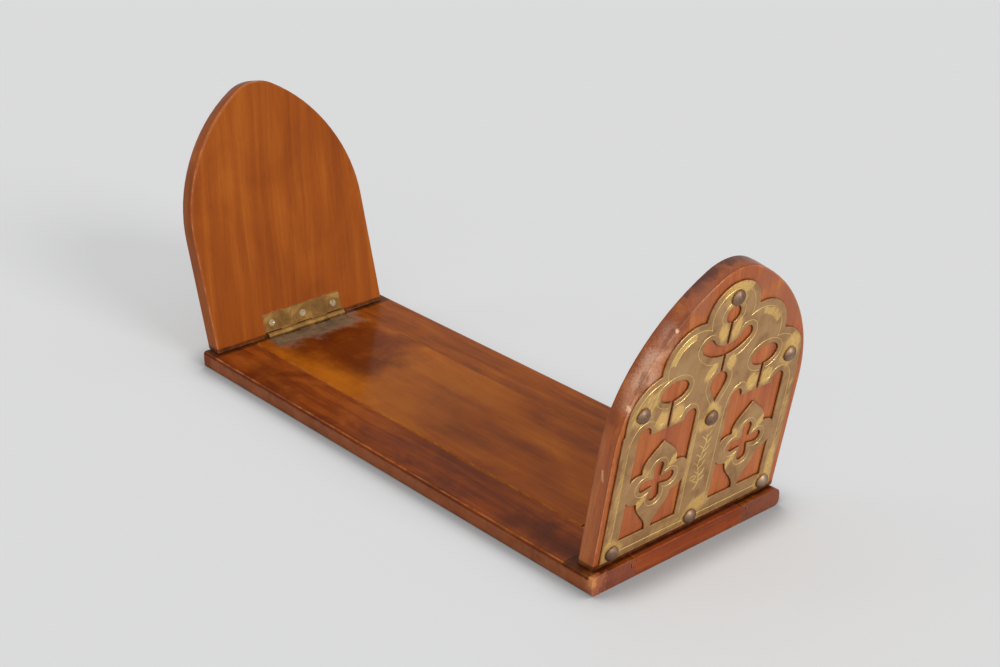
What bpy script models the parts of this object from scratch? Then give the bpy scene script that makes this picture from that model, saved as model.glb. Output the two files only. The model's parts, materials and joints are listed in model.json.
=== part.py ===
"""Extending book rest with two folding Gothic ends, in metres, +Z up.

The length runs along X, the near end at +X and the far end at -X. Two rails and an end block
make a fixed base. A slide board runs between the rails on tongues and carries the far end away.
Each end stands on a brass hinge, leans outward on its own foot and folds down flat. Each
wears a pierced Gothic brass mount held by domed nails.
"""
import math

import bmesh
import bpy
from mathutils import Matrix, Vector

# Base
base_length = 0.349
base_width = 0.140
base_thickness = 0.0105
front_edge_radius = 0.0018
rear_edge_radius = 0.0038
end_block_length = 0.040

# Slide board and its tongues
slide_width = 0.0780
slide_thickness = 0.0066
slide_rise = 0.0006
slide_arris = 0.0007
tongue_width = 0.0035
tongue_thickness = 0.0022
tongue_lift = 0.0014
slide_travel = 0.180

# Batten under the rails, and the stop strip that meets it
batten_width = 0.026
batten_inset = 0.008
batten_end_margin = 0.012
batten_screw_spacing = 0.014
stop_strip_width = 0.012
stop_strip_margin = 0.004

# Folding ends
end_width = 0.1312
end_height = 0.1590
end_thickness = 0.0110
end_edge_radius = 0.0012
end_shift = 0.0020
near_width_share = 1.0265
far_width_share = 0.9735
near_setback = 0.0049
far_overhang = 0.0008
near_lean = math.radians(10.6)
far_lean = math.radians(14.8)
haunch_turn = math.radians(23.9)
flank_turn = math.radians(61.4)
haunch_radius_share = 1.32
flank_radius_share = 1.566

# Hinges
hinge_length = 0.0585
leaf_width = 0.0137
leaf_thickness = 0.0011
knuckle_radius = 0.0023
knuckle_proud = 0.0001
knuckle_count = 5
pin_radius = 0.0009
hinge_screw_spacing = 0.0238
hinge_screw_place_share = 0.56

# Screws
screw_head_radius = 0.0021
screw_head_depth = 0.0011
screw_shank_radius = 0.0008
hinge_screw_length = 0.0046
batten_screw_length = 0.0056
screw_point_share = 0.25

# Brass mount, its borders and margins on the end
mount_thickness = 0.0008
mount_shift = 0.0010
mount_side_margin = 0.0044
mount_apex_margin = 0.0070
mount_foot_margin = 0.0056
border_width = 0.0103
sill_width = 0.0108
mullion_width = 0.0236
slit_width = 0.0018

# Domed nails
nail_head_radius = 0.0043
nail_head_height = 0.0028
nail_rim_height = 0.0006
nail_shank_radius = 0.0008
nail_shank_length = 0.0045

# Clearances
seat_gap = 0.0003
running_gap = 0.0003
pin_gap = 0.00008
screw_gap = 0.00015
weld_distance = 0.00002
overrun = 0.002

# Head of the mount: lobes as (across, below the apex, radius), shares of the mount's half width
rise_unit_share = 0.4180
lobe_shares = ((0.0, 0.297, 0.297), (0.355, 0.626, 0.339), (0.637, 0.997, 0.347))
shoulder_drop_share = 1.118
shoulder_notch_share = 0.022

# Piercings of the head, shares of the mount's half width, places below its apex
eye_shares = (0.300, 0.081)
bow_lobe_shares = (0.2145, 0.5460, 0.070)
bow_lobe_turns = (math.radians(150.0), math.radians(-70.0))
bow_under_shares = ((0.688, 0.0), (0.690, 0.083), (0.664, 0.172))
bow_over_shares = ((0.556, 0.137), (0.581, 0.065), (0.589, 0.0))
drop_shares = (0.9435, 0.095, 1.145)
drop_side_shares = ((1.013, 0.090), (1.085, 0.026))
oval_shares = (0.853, 0.158, 0.100)
ear_top_share = 1.110
ear_radius_share = 0.069
bar_share = 1.198

# Finial in each window, shares of the window's half width from the finial's middle
finial_unit_share = 0.3138
finial_rise_share = 1.505
finial_head_shares = ((0.0, 1.288), (0.25, 1.03), (0.68, 0.80), (0.586, 0.434))
finial_side_shares = ((0.586, 0.434), (0.76, 0.47), (0.95, 0.40), (1.0, 0.288))
finial_hip_shares = ((1.0, -0.293), (0.90, -0.45), (0.75, -0.46), (0.596, -0.50))
finial_stem_shares = ((0.596, -0.50), (0.57, -0.93), (0.08, -1.12), (0.106, -1.505))
petal_shares = (0.125, 0.174, 0.44)

# Nails: shares of the mount's half width, from the apex down or from the border's middle
top_nail_share = 0.144
shoulder_nail_shares = (0.835, 0.960)
centre_nail_share = 1.295
foot_nail_share = 0.667
foot_nail_row_share = 0.46

# Facets
edge_steps = 4
bevel_steps = 3
arch_steps = (6, 10, 5)
lobe_steps = 9
curve_steps = 7
round_steps = 16
screw_steps = 12
nail_steps = 14
dome_steps = 3
flat_face_share = 0.9999
sharp_angle = math.radians(32)

# Places that several pieces share
slide_top = base_thickness + slide_rise
slide_bottom = slide_top - slide_thickness
slide_length = base_length - end_block_length - running_gap
tongue_bottom = slide_bottom + tongue_lift
rail_inner = slide_width / 2 + running_gap
groove_inner = rail_inner + tongue_width
batten_thickness = slide_bottom - seat_gap - running_gap
batten_length = base_width - 2 * batten_end_margin
axis_lift = knuckle_radius - knuckle_proud - leaf_thickness
knuckle_pitch = hinge_length / knuckle_count
hinge_screw_place = leaf_width * hinge_screw_place_share
half_end = end_width / 2
half_mount = half_end - mount_side_margin
mount_apex = end_height - axis_lift - mount_apex_margin
mount_foot = mount_foot_margin - axis_lift
rise_unit = (mount_apex - mount_foot) * rise_unit_share
outer_face = axis_lift + end_thickness
mount_face = outer_face + seat_gap + mount_thickness
window_inner = mullion_width / 2
window_outer = half_mount - border_width
window_middle = (window_inner + window_outer) / 2
window_half = (window_outer - window_inner) / 2
window_sill = mount_foot + sill_width
window_bar = mount_apex - rise_unit * bar_share
finial_unit = (window_bar - window_sill) * finial_unit_share
finial_middle = window_sill + finial_unit * finial_rise_share
nail_reach = nail_shank_length + nail_shank_radius

# A leaf lies along -X with its board below it; this turn stands it up with its board outside it
upright_turn = (0.0, math.pi / 2, math.pi)


def clear_scene():
    """Remove every object that the file holds."""
    for obj in list(bpy.data.objects):
        bpy.data.objects.remove(obj, do_unlink=True)


def make_material(name, colour, roughness, metallic):
    """A Principled material in one linear colour."""
    material = bpy.data.materials.new(name)
    material.use_nodes = True
    shader = material.node_tree.nodes["Principled BSDF"]
    shader.inputs["Base Color"].default_value = (*colour, 1.0)
    shader.inputs["Roughness"].default_value = roughness
    shader.inputs["Metallic"].default_value = metallic
    return material


def add_object(name, bm, material, parent=None, location=(0, 0, 0), rotation=(0, 0, 0)):
    """Turn a bmesh into a named object, its faces pointing out and the square ones shaded flat."""
    bmesh.ops.recalc_face_normals(bm, faces=bm.faces)
    mesh = bpy.data.meshes.new(name)
    bm.to_mesh(mesh)
    bm.free()
    mesh.materials.append(material)
    for polygon in mesh.polygons:
        polygon.use_smooth = max(abs(part) for part in polygon.normal) < flat_face_share
    mesh.set_sharp_from_angle(angle=sharp_angle)
    obj = bpy.data.objects.new(name, mesh)
    obj.location = location
    obj.rotation_euler = rotation
    obj.parent = parent
    bpy.context.scene.collection.objects.link(obj)
    return obj


def add_axis(name, location, rotation, parent):
    """An empty on a joint's axis, which carries the pieces that turn with it."""
    empty = bpy.data.objects.new(name, None)
    empty.location = location
    empty.rotation_euler = rotation
    empty.parent = parent
    bpy.context.scene.collection.objects.link(empty)
    return empty


def cut(obj, bm, label, location=(0, 0, 0), rotation=(0, 0, 0)):
    """Take a closed bmesh, placed in the object's own frame, out of the object."""
    cutter = add_object(obj.name + "_" + label, bm, obj.data.materials[0], obj, location, rotation)
    cutter.hide_render = True
    cutter.display_type = "WIRE"
    boolean = obj.modifiers.new(label, "BOOLEAN")
    boolean.operation = "DIFFERENCE"
    boolean.solver = "EXACT"
    boolean.object = cutter


def box(low, high):
    """A box between two corners."""
    bm = bmesh.new()
    bmesh.ops.create_cube(bm, size=1)
    size = Vector(high) - Vector(low)
    bmesh.ops.scale(bm, vec=size, verts=bm.verts)
    bmesh.ops.translate(bm, vec=(Vector(low) + Vector(high)) / 2, verts=bm.verts)
    return bm


def prism(points, start, end):
    """Extrude one outline of (y, z) points along X."""
    bm = bmesh.new()
    face = bm.faces.new([bm.verts.new((start, y, z)) for y, z in points])
    copy = bmesh.ops.extrude_face_region(bm, geom=[face], use_keep_orig=True)
    moved = [item for item in copy["geom"] if isinstance(item, bmesh.types.BMVert)]
    bmesh.ops.translate(bm, vec=(end - start, 0, 0), verts=moved)
    return bm


def pierced_plate(loops, start, end):
    """Fill an outline and its holes, given as loops of (y, z) points, and extrude along X."""
    bm = bmesh.new()
    for loop in loops:
        verts = [bm.verts.new((start, y, z)) for y, z in loop]
        for first, second in zip(verts, verts[1:] + verts[:1]):
            bm.edges.new((first, second))
    bmesh.ops.triangle_fill(bm, use_beauty=True, edges=bm.edges, normal=(1, 0, 0))
    copy = bmesh.ops.extrude_face_region(bm, geom=bm.faces[:], use_keep_orig=True)
    moved = [item for item in copy["geom"] if isinstance(item, bmesh.types.BMVert)]
    bmesh.ops.translate(bm, vec=(end - start, 0, 0), verts=moved)
    return bm


def turned(profile, steps):
    """Spin a profile of (radius, height) points about Z; its first and last radii are zero."""
    bm = bmesh.new()
    verts = [bm.verts.new((radius, 0, height)) for radius, height in profile]
    edges = [bm.edges.new(pair) for pair in zip(verts, verts[1:])]
    bmesh.ops.spin(
        bm, geom=verts + edges, axis=(0, 0, 1), cent=(0, 0, 0), steps=steps, angle=math.tau,
        use_merge=True,
    )
    bmesh.ops.remove_doubles(bm, verts=bm.verts, dist=weld_distance)
    return bm


def cylinder(radius, low, high, steps):
    """A cylinder about Z between two heights."""
    return turned(((0, low), (radius, low), (radius, high), (0, high)), steps)


def arc(centre, radius, start, end, steps):
    """Points on an arc from one angle to another, both ends included."""
    turns = [start + (end - start) * step / steps for step in range(steps + 1)]
    return [(centre[0] + radius * math.cos(turn), centre[1] + radius * math.sin(turn)) for turn in turns]


def bezier(points, steps):
    """Points on a cubic curve, both ends included."""
    curve = []
    for step in range(steps + 1):
        t = step / steps
        weights = ((1 - t) ** 3, 3 * t * (1 - t) ** 2, 3 * t * t * (1 - t), t ** 3)
        curve.append(tuple(sum(w * p[axis] for w, p in zip(weights, points)) for axis in (0, 1)))
    return curve


def mirrored(points, middle=0.0):
    """The same points in reverse order on the other side of a vertical line."""
    return [(2 * middle - y, z) for y, z in reversed(points)]


def joined(*runs):
    """Join runs of points into one loop, dropping a point that repeats the one before it."""
    loop = []
    for run in runs:
        for point in run:
            if not loop or math.dist(point, loop[-1]) > weld_distance:
                loop.append(point)
    if math.dist(loop[0], loop[-1]) <= weld_distance:
        loop.pop()
    return loop


# Base and slide

def rail_section(edge_radius):
    """Section of a rail on the +Y side: rounded outer edge and a groove in the inner one."""
    outer = base_width / 2
    groove_low = tongue_bottom - running_gap
    groove_high = tongue_bottom + tongue_thickness + running_gap
    low_corner = (outer - edge_radius, edge_radius)
    high_corner = (outer - edge_radius, base_thickness - edge_radius)
    return joined(
        [(rail_inner, 0.0)],
        arc(low_corner, edge_radius, -math.pi / 2, 0.0, edge_steps),
        arc(high_corner, edge_radius, 0.0, math.pi / 2, edge_steps),
        [(rail_inner, base_thickness), (rail_inner, groove_high), (groove_inner, groove_high)],
        [(groove_inner, groove_low), (rail_inner, groove_low)],
    )


def tongued_section(bottom, top, arris):
    """Section of a board with a tongue along each side, its upper corners taken off."""
    side = slide_width / 2
    tongue_tip = side + tongue_width - running_gap
    right = [
        (side, bottom),
        (side, tongue_bottom),
        (tongue_tip, tongue_bottom),
        (tongue_tip, tongue_bottom + tongue_thickness),
        (side, tongue_bottom + tongue_thickness),
        (side, top - arris),
        (side - arris, top),
    ]
    return joined(right, mirrored(right))


def make_base(root, wood):
    """Two rails, the end block between them and the batten under their open end."""
    front = mirrored(rail_section(front_edge_radius))
    rear = rail_section(rear_edge_radius)
    recess_low = (batten_inset - seat_gap, -batten_length / 2 - seat_gap, -overrun)
    recess_high = (
        batten_inset + batten_width + seat_gap,
        batten_length / 2 + seat_gap,
        batten_thickness + 2 * seat_gap,
    )
    for name, section in (("front_rail", front), ("rear_rail", rear)):
        rail = add_object(name, prism(section, 0.0, base_length), wood, root)
        cut(rail, box(recess_low, recess_high), "batten_recess")
        for index, (x, y) in enumerate(batten_screw_places()):
            if (y > 0) == (name == "rear_rail"):
                hole = screw_hole(batten_screw_length, batten_thickness + seat_gap)
                cut(rail, hole, "screw_hole_%d" % index, (x, y, seat_gap))
    block_start = base_length - end_block_length
    block = prism(tongued_section(0.0, base_thickness, seat_gap), block_start, base_length)
    return add_object("end_block", block, wood, root)


def batten_screw_places():
    """Middle of each batten screw: two into each rail."""
    middle = batten_inset + batten_width / 2
    across = (groove_inner + batten_length / 2) / 2
    offsets = (-batten_screw_spacing / 2, batten_screw_spacing / 2)
    return [(middle + offset, side * across) for side in (-1, 1) for offset in offsets]


def make_batten(root, wood, brass):
    """Batten let in under the rails, flush with their underside, and its four screws."""
    low = (batten_inset, -batten_length / 2, seat_gap)
    high = (batten_inset + batten_width, batten_length / 2, seat_gap + batten_thickness)
    batten = add_object("cross_batten", box(low, high), wood, root)
    for index, (x, y) in enumerate(batten_screw_places()):
        place = (x, y, seat_gap)
        cut(batten, screw_hole(batten_thickness + overrun, 0.0), "screw_hole_%d" % index, place)
        screw = turned(screw_profile(batten_screw_length), screw_steps)
        add_object("batten_screw_%d" % (index + 1), screw, brass, root, place)


def make_slide(root, wood):
    """Slide board with a tongue along each side, and the stop strip under it."""
    travel = add_axis("slide_carriage", (0, 0, 0), (0, 0, 0), root)
    board = prism(tongued_section(slide_bottom, slide_top, slide_arris), 0.0, slide_length)
    slide = add_object("slide_board", board, wood, travel)
    stop_start = batten_inset + batten_width + seat_gap + slide_travel
    half = slide_width / 2 - stop_strip_margin
    low = (stop_start, -half, 2 * seat_gap)
    high = (stop_start + stop_strip_width, half, slide_bottom - seat_gap)
    add_object("stop_strip", box(low, high), wood, travel)
    return travel, slide


# Screws, nails and hinges

def screw_profile(length):
    """Countersunk screw pointing up +Z from its flat head at zero."""
    point = length * screw_point_share
    return (
        (0, 0),
        (screw_head_radius, 0),
        (screw_shank_radius, screw_head_depth),
        (screw_shank_radius, length - point),
        (0, length),
    )


def screw_hole(length, start):
    """Hole round a screw from a height above its head, with the countersink where that shows."""
    radius = screw_shank_radius + screw_gap
    top = length + screw_gap
    if start > screw_head_depth:
        return cylinder(radius, start - overrun / 2, top, screw_steps)
    wide = screw_head_radius + screw_gap
    sink = screw_head_depth + screw_gap
    return turned(
        ((0, -overrun), (wide, -overrun), (wide, screw_gap), (radius, sink), (radius, top), (0, top)),
        screw_steps,
    )


def nail_profile():
    """Domed nail pointing down -Z, its head standing on zero."""
    rise = nail_head_height - nail_rim_height
    sphere = (nail_head_radius ** 2 + rise ** 2) / (2 * rise)
    spread = math.asin(nail_head_radius / sphere)
    turns = [spread * step / dome_steps for step in range(dome_steps + 1)]
    dome = [
        (sphere * math.sin(turn), nail_head_height + sphere * (math.cos(turn) - 1)) for turn in turns
    ]
    return dome + [
        (nail_head_radius, 0),
        (nail_shank_radius, 0),
        (nail_shank_radius, -nail_shank_length),
        (0, -nail_reach),
    ]


def knuckle_notches(first):
    """Bounds across Y of the notches in one leaf that the other leaf's knuckles turn in."""
    start = (-hinge_length - running_gap) / 2
    span = knuckle_pitch + running_gap
    lows = [start + index * knuckle_pitch for index in range(1 - first, knuckle_count, 2)]
    return [(low, low + span) for low in lows]


def leaf_loops():
    """Section of a leaf and its bore as (reach, z) points: a flat plate that runs into the knuckle."""
    under = axis_lift + leaf_thickness
    top_meets = -math.asin(axis_lift / knuckle_radius)
    under_meets = math.tau - math.asin(under / knuckle_radius)
    plate = joined(
        [(leaf_width, -under), (leaf_width, -axis_lift)],
        arc((0.0, 0.0), knuckle_radius, top_meets, under_meets, round_steps),
    )
    bore = joined(arc((0.0, 0.0), pin_radius + pin_gap, 0.0, math.tau, round_steps))
    return [plate, bore]


def hinge_screw_rows():
    """Places across Y of the screws in one leaf."""
    return (-hinge_screw_spacing, 0.0, hinge_screw_spacing)


def make_leaf(name, first, parent, brass):
    """Hinge leaf that lies along -X from the axis, below it, with its knuckles round the axis."""
    half = hinge_length / 2
    bm = pierced_plate(leaf_loops(), -half, half)
    bmesh.ops.rotate(bm, cent=(0, 0, 0), matrix=Matrix.Rotation(math.pi / 2, 3, "Z"), verts=bm.verts)
    leaf = add_object(name, bm, brass, parent)
    clear = knuckle_radius + running_gap
    for index, (low, high) in enumerate(knuckle_notches(first)):
        cut(leaf, box((-clear, low, -clear), (clear, high, clear)), "knuckle_notch_%d" % index)
    for index, y in enumerate(hinge_screw_rows()):
        hole = screw_hole(leaf_thickness + overrun, 0.0)
        cut(leaf, hole, "screw_hole_%d" % index, (-hinge_screw_place, y, -axis_lift), (math.pi, 0, 0))
    return leaf


def add_leaf_screws(prefix, parent, brass):
    """Three countersunk screws, heads flush with a leaf that lies along -X."""
    for index, y in enumerate(hinge_screw_rows()):
        place = (-hinge_screw_place, y, -axis_lift)
        screw = turned(screw_profile(hinge_screw_length), screw_steps)
        add_object("%s_screw_%d" % (prefix, index + 1), screw, brass, parent, place, (math.pi, 0, 0))


def let_in_leaf(board, place, turn):
    """Recess and screw holes in a board for a leaf along -X from an axis at a place."""
    half = hinge_length / 2 + seat_gap
    reach = knuckle_radius + running_gap
    low = (-leaf_width - seat_gap, -half, -knuckle_radius - seat_gap)
    high = (reach, half, overrun)
    cut(board, box(low, high), "leaf_recess", place, turn)
    facing = Matrix.Rotation(turn[2], 4, "Z")
    frame = Matrix.Translation(place) @ facing @ Matrix.Rotation(turn[1], 4, "Y")
    down = (facing @ Matrix.Rotation(turn[1] + math.pi, 4, "Y")).to_euler()
    for index, y in enumerate(hinge_screw_rows()):
        spot = frame @ Vector((-hinge_screw_place, y, -axis_lift))
        hole = screw_hole(hinge_screw_length, knuckle_radius - axis_lift + seat_gap)
        cut(board, hole, "leaf_screw_hole_%d" % index, spot, down)


# Ends

def arch_outline():
    """Outline of an end as (y, z) points: straight sides, then haunch, flank and nose arcs.

    The end stands a little to one side of its hinge.
    """
    haunch = half_end * haunch_radius_share
    flank = half_end * flank_radius_share
    flank_start = haunch * (1 - math.cos(haunch_turn))
    flank_run = flank * (math.cos(haunch_turn) - math.cos(flank_turn))
    nose = (half_end - flank_start - flank_run) / math.cos(flank_turn)
    rise = (
        haunch * math.sin(haunch_turn)
        + flank * (math.sin(flank_turn) - math.sin(haunch_turn))
        + nose * (1 - math.sin(flank_turn))
    )
    apex = end_height - axis_lift
    haunch_centre = (end_shift + half_end - haunch, apex - rise)
    flank_centre = along(haunch_centre, haunch_turn, haunch - flank)
    nose_centre = along(flank_centre, flank_turn, flank - nose)
    right = joined(
        [(end_shift + half_end, -axis_lift)],
        arc(haunch_centre, haunch, 0.0, haunch_turn, arch_steps[0]),
        arc(flank_centre, flank, haunch_turn, flank_turn, arch_steps[1]),
        arc(nose_centre, nose, flank_turn, math.pi / 2, arch_steps[2]),
    )
    return joined(right, mirrored(right, end_shift))


def along(point, turn, distance):
    """The point at a distance from another in the direction of an angle."""
    return (point[0] + distance * math.cos(turn), point[1] + distance * math.sin(turn))


def widened(points, share, shift=0.0):
    """Points (y, z) with their width scaled, then shifted to one side."""
    return [(y * share + shift, z) for y, z in points]


def make_end(name, parent, lean, width_share, wood):
    """An upright end: an arched board with rounded edges, its foot cut to stand level as it leans."""
    bm = prism(widened(arch_outline(), width_share), axis_lift, outer_face)
    rim = [
        edge for edge in bm.edges
        if abs(edge.verts[0].co.x - edge.verts[1].co.x) < seat_gap
        and max(vert.co.z for vert in edge.verts) > -axis_lift + seat_gap
    ]
    bmesh.ops.bevel(
        bm, geom=rim, offset=end_edge_radius, offset_type="OFFSET", segments=bevel_steps, profile=0.5,
        affect="EDGES", clamp_overlap=True,
    )
    end = add_object(name, bm, wood, parent)
    foot_top = seat_gap - axis_lift
    low = (-outer_face, -end_width, foot_top - end_thickness)
    high = (2 * outer_face, end_width, foot_top)
    cut(end, box(low, high), "foot", rotation=(0, -lean, 0))
    let_in_leaf(end, (0.0, 0.0, 0.0), upright_turn)
    for label, (y, z) in nail_places(width_share).items():
        hole = cylinder(nail_shank_radius + screw_gap, -nail_reach - seat_gap, overrun, screw_steps)
        cut(end, hole, label, (mount_face + seat_gap, y, z), (0, math.pi / 2, 0))
    return end


# Gothic mount

def below(share):
    """Height of a place given as a share of the mount's rise unit below its apex."""
    return mount_apex - rise_unit * share


def crossing(first, second):
    """Outer crossing of a circle (across, height, radius) with the next one down the head."""
    span = math.dist(first[:2], second[:2])
    along_span = (span ** 2 + first[2] ** 2 - second[2] ** 2) / (2 * span)
    off_span = math.sqrt(first[2] ** 2 - along_span ** 2)
    direction = ((second[0] - first[0]) / span, (second[1] - first[1]) / span)
    return (
        first[0] + along_span * direction[0] - off_span * direction[1],
        first[1] + along_span * direction[1] + off_span * direction[0],
    )


def bearing(circle, point):
    """Angle of a point as seen from a circle's centre."""
    return math.atan2(point[1] - circle[1], point[0] - circle[0])


def mount_outline():
    """Cinquefoil head on straight sides, as (y, z) points from the foot's right corner."""
    circles = [
        (half_mount * across, below(down), half_mount * radius) for across, down, radius in lobe_shares
    ]
    cusps = [crossing(circles[0], circles[1]), crossing(circles[1], circles[2])]
    starts = [0.0, bearing(circles[1], cusps[1]), bearing(circles[0], cusps[0])]
    ends = [bearing(circles[2], cusps[1]), bearing(circles[1], cusps[0]), math.pi / 2]
    order = (circles[2], circles[1], circles[0])
    lobes = [
        arc(circle[:2], circle[2], start, end, lobe_steps)
        for circle, start, end in zip(order, starts, ends)
    ]
    step = circles[2][0] + circles[2][2]
    notch_top = below(shoulder_drop_share)
    notch_foot = below(shoulder_drop_share + shoulder_notch_share)
    right = joined(
        [(half_mount, mount_foot), (half_mount, notch_foot), (step, notch_top)],
        *lobes,
    )
    return joined(right, mirrored(right))


def finial_run(shares, foot=None):
    """A curve of the finial right of its middle, in the mount's own places."""
    points = [
        (window_middle + window_half * across, finial_middle + finial_unit * up) for across, up in shares
    ]
    if foot is not None:
        points[-1] = (points[-1][0], foot)
    return bezier(points, curve_steps)


def window_head():
    """Opening above the finial, with the ears, the slit and the oval that the slit leads to."""
    half_slit = slit_width / 2
    ear = half_mount * ear_radius_share
    spring = below(ear_top_share) - ear
    oval_down, oval_half, oval_rise = oval_shares
    oval_half *= half_mount
    oval_rise *= rise_unit
    opening = math.asin(half_slit / oval_half)
    circle = arc((0.0, 0.0), 1.0, opening - math.pi / 2, 3 * math.pi / 2 - opening, round_steps)
    oval = [
        (window_middle + oval_half * across, below(oval_down) + oval_rise * up) for across, up in circle
    ]
    right_ear = arc((window_outer - ear, spring), ear, 0.0, math.pi, lobe_steps)
    bar = [(window_outer - 2 * ear, window_bar), (window_middle + half_slit, window_bar)]
    sides = joined(right_ear, bar)
    finial = joined(finial_run(finial_head_shares), finial_run(finial_side_shares))
    return joined(
        sides, oval, mirrored(sides, window_middle), mirrored(finial, window_middle), finial,
    )


def window_foot():
    """Opening beside the finial's stem, on the outer side of the window."""
    hip = finial_run(finial_hip_shares)
    stem = finial_run(finial_stem_shares, window_sill)
    return joined(hip, stem, [(window_outer, window_sill)])


def quatrefoil():
    """Four petals that meet in the finial's middle."""
    unit = min(window_half, finial_unit)
    waist, round_end, reach = (unit * share for share in petal_shares)
    tip = arc((0.0, reach), round_end, 0.0, math.pi, lobe_steps)
    petal = joined([(waist, waist)], tip)
    loop = []
    for quarter in range(4):
        turn = quarter * math.pi / 2
        cos, sin = math.cos(turn), math.sin(turn)
        loop += [
            (window_middle + y * cos - z * sin, finial_middle + y * sin + z * cos) for y, z in petal
        ]
    return loop


def centre_piercing():
    """Eye, slit, bow, slit and drop down the middle of the head, as one opening."""
    half_slit = slit_width / 2
    eye_down, eye_radius = eye_shares
    eye_radius *= half_mount
    eye_turn = math.asin(half_slit / eye_radius)
    eye = arc((0.0, below(eye_down)), eye_radius, math.pi / 2, -math.pi / 2 + eye_turn, lobe_steps)
    bow_across, bow_down, bow_radius = bow_lobe_shares
    lobe = arc(
        (half_mount * bow_across, below(bow_down)), half_mount * bow_radius,
        bow_lobe_turns[0], bow_lobe_turns[1], lobe_steps,
    )
    over = [(half_mount * across, below(down)) for down, across in bow_over_shares]
    under = [(half_mount * across, below(down)) for down, across in bow_under_shares]
    over[-1] = (half_slit, over[-1][1])
    under[0] = (half_slit, under[0][1])
    drop_down, drop_radius, drop_tip = drop_shares
    drop_radius *= half_mount
    drop_turn = math.asin(half_slit / drop_radius)
    drop = arc((0.0, below(drop_down)), drop_radius, math.pi / 2 - drop_turn, 0.0, lobe_steps)
    side = [(half_mount * across, below(down)) for down, across in drop_side_shares]
    right = joined(
        eye,
        bezier(list(reversed(over)) + [lobe[0]], curve_steps),
        lobe,
        bezier([lobe[-1]] + list(reversed(under)), curve_steps),
        drop,
        bezier([drop[-1]] + side + [(0.0, below(drop_tip))], curve_steps),
    )
    return joined(right, mirrored(right))


def nail_places(width_share):
    """Middle of each nail on an end's mount, by name."""
    foot_row = mount_foot + sill_width * foot_nail_row_share
    foot_side = half_mount - border_width * foot_nail_share
    shoulder = half_mount * shoulder_nail_shares[0]
    shoulder_row = below(shoulder_nail_shares[1])
    places = {
        "nail_top": (0.0, below(top_nail_share)),
        "nail_left_shoulder": (-shoulder, shoulder_row),
        "nail_right_shoulder": (shoulder, shoulder_row),
        "nail_middle": (0.0, below(centre_nail_share)),
        "nail_left_foot": (-foot_side, foot_row),
        "nail_middle_foot": (0.0, foot_row),
        "nail_right_foot": (foot_side, foot_row),
    }
    return dict(zip(places, widened(places.values(), width_share, mount_shift)))


def make_mount(prefix, parent, width_share, brass, bronze):
    """Pierced mount on an end's outer face, with its seven domed nails."""
    pierced = [window_head(), window_foot(), mirrored(window_foot(), window_middle), quatrefoil()]
    drawn = [mount_outline(), centre_piercing()] + pierced + [mirrored(loop) for loop in pierced]
    loops = [widened(loop, width_share, mount_shift) for loop in drawn]
    hole = nail_shank_radius + screw_gap
    places = nail_places(width_share)
    for place in places.values():
        loops.append(joined(arc(place, hole, 0.0, math.tau, screw_steps)))
    add_object(
        prefix + "_mount", pierced_plate(loops, outer_face + seat_gap, mount_face), brass, parent
    )
    for label, (y, z) in places.items():
        place = (mount_face + seat_gap, y, z)
        nail = turned(nail_profile(), nail_steps)
        add_object("%s_%s" % (prefix, label), nail, bronze, parent, place, (0, math.pi / 2, 0))


# Assembly

def hinge_place(near):
    """Place of a hinge axis, from where the foot of the end's outer face stands on the base."""
    lean = near_lean if near else far_lean
    top = base_thickness if near else slide_top
    foot_lift = (seat_gap - axis_lift + outer_face * math.sin(lean)) / math.cos(lean)
    reach = outer_face * math.cos(lean) + foot_lift * math.sin(lean)
    x = base_length - near_setback - reach if near else reach - far_overhang
    return (x, 0.0, top + axis_lift)


def make_hinged_end(prefix, carrier, board, wood, brass, mount_brass, bronze):
    """One end with its hinge, let into the board that carries it."""
    near = prefix == "near"
    width_share = near_width_share if near else far_width_share
    place = hinge_place(near)
    facing = 0.0 if near else math.pi
    lean = near_lean if near else far_lean
    let_in_leaf(board, place, (0, 0, facing))
    fixed = add_axis(prefix + "_hinge", place, (0, 0, facing), carrier)
    make_leaf(prefix + "_base_leaf", 0, fixed, brass)
    add_leaf_screws(prefix + "_base", fixed, brass)
    half = hinge_length / 2
    pin = cylinder(pin_radius, -half, half, round_steps)
    add_object(prefix + "_hinge_pin", pin, brass, fixed, rotation=(math.pi / 2, 0, 0))
    swing = add_axis(prefix + "_end_axis", place, (0, lean, facing), carrier)
    make_end(prefix + "_end", swing, lean, width_share, wood)
    upright = add_axis(prefix + "_leaf_frame", (0, 0, 0), upright_turn, swing)
    make_leaf(prefix + "_end_leaf", 1, upright, brass)
    add_leaf_screws(prefix + "_end", upright, brass)
    make_mount(prefix, swing, width_share, mount_brass, bronze)


def centre_on_bounds(root):
    """Move the whole rest so that its bounding box is centred on the origin along X."""
    bpy.context.view_layer.update()
    graph = bpy.context.evaluated_depsgraph_get()
    places = []
    for obj in bpy.data.objects:
        if obj.type == "MESH" and not obj.hide_render:
            solid = obj.evaluated_get(graph)
            mesh = solid.to_mesh()
            places += [(solid.matrix_world @ vert.co).x for vert in mesh.vertices]
            solid.to_mesh_clear()
    root.location.x = -(min(places) + max(places)) / 2
    bpy.context.view_layer.update()


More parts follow.
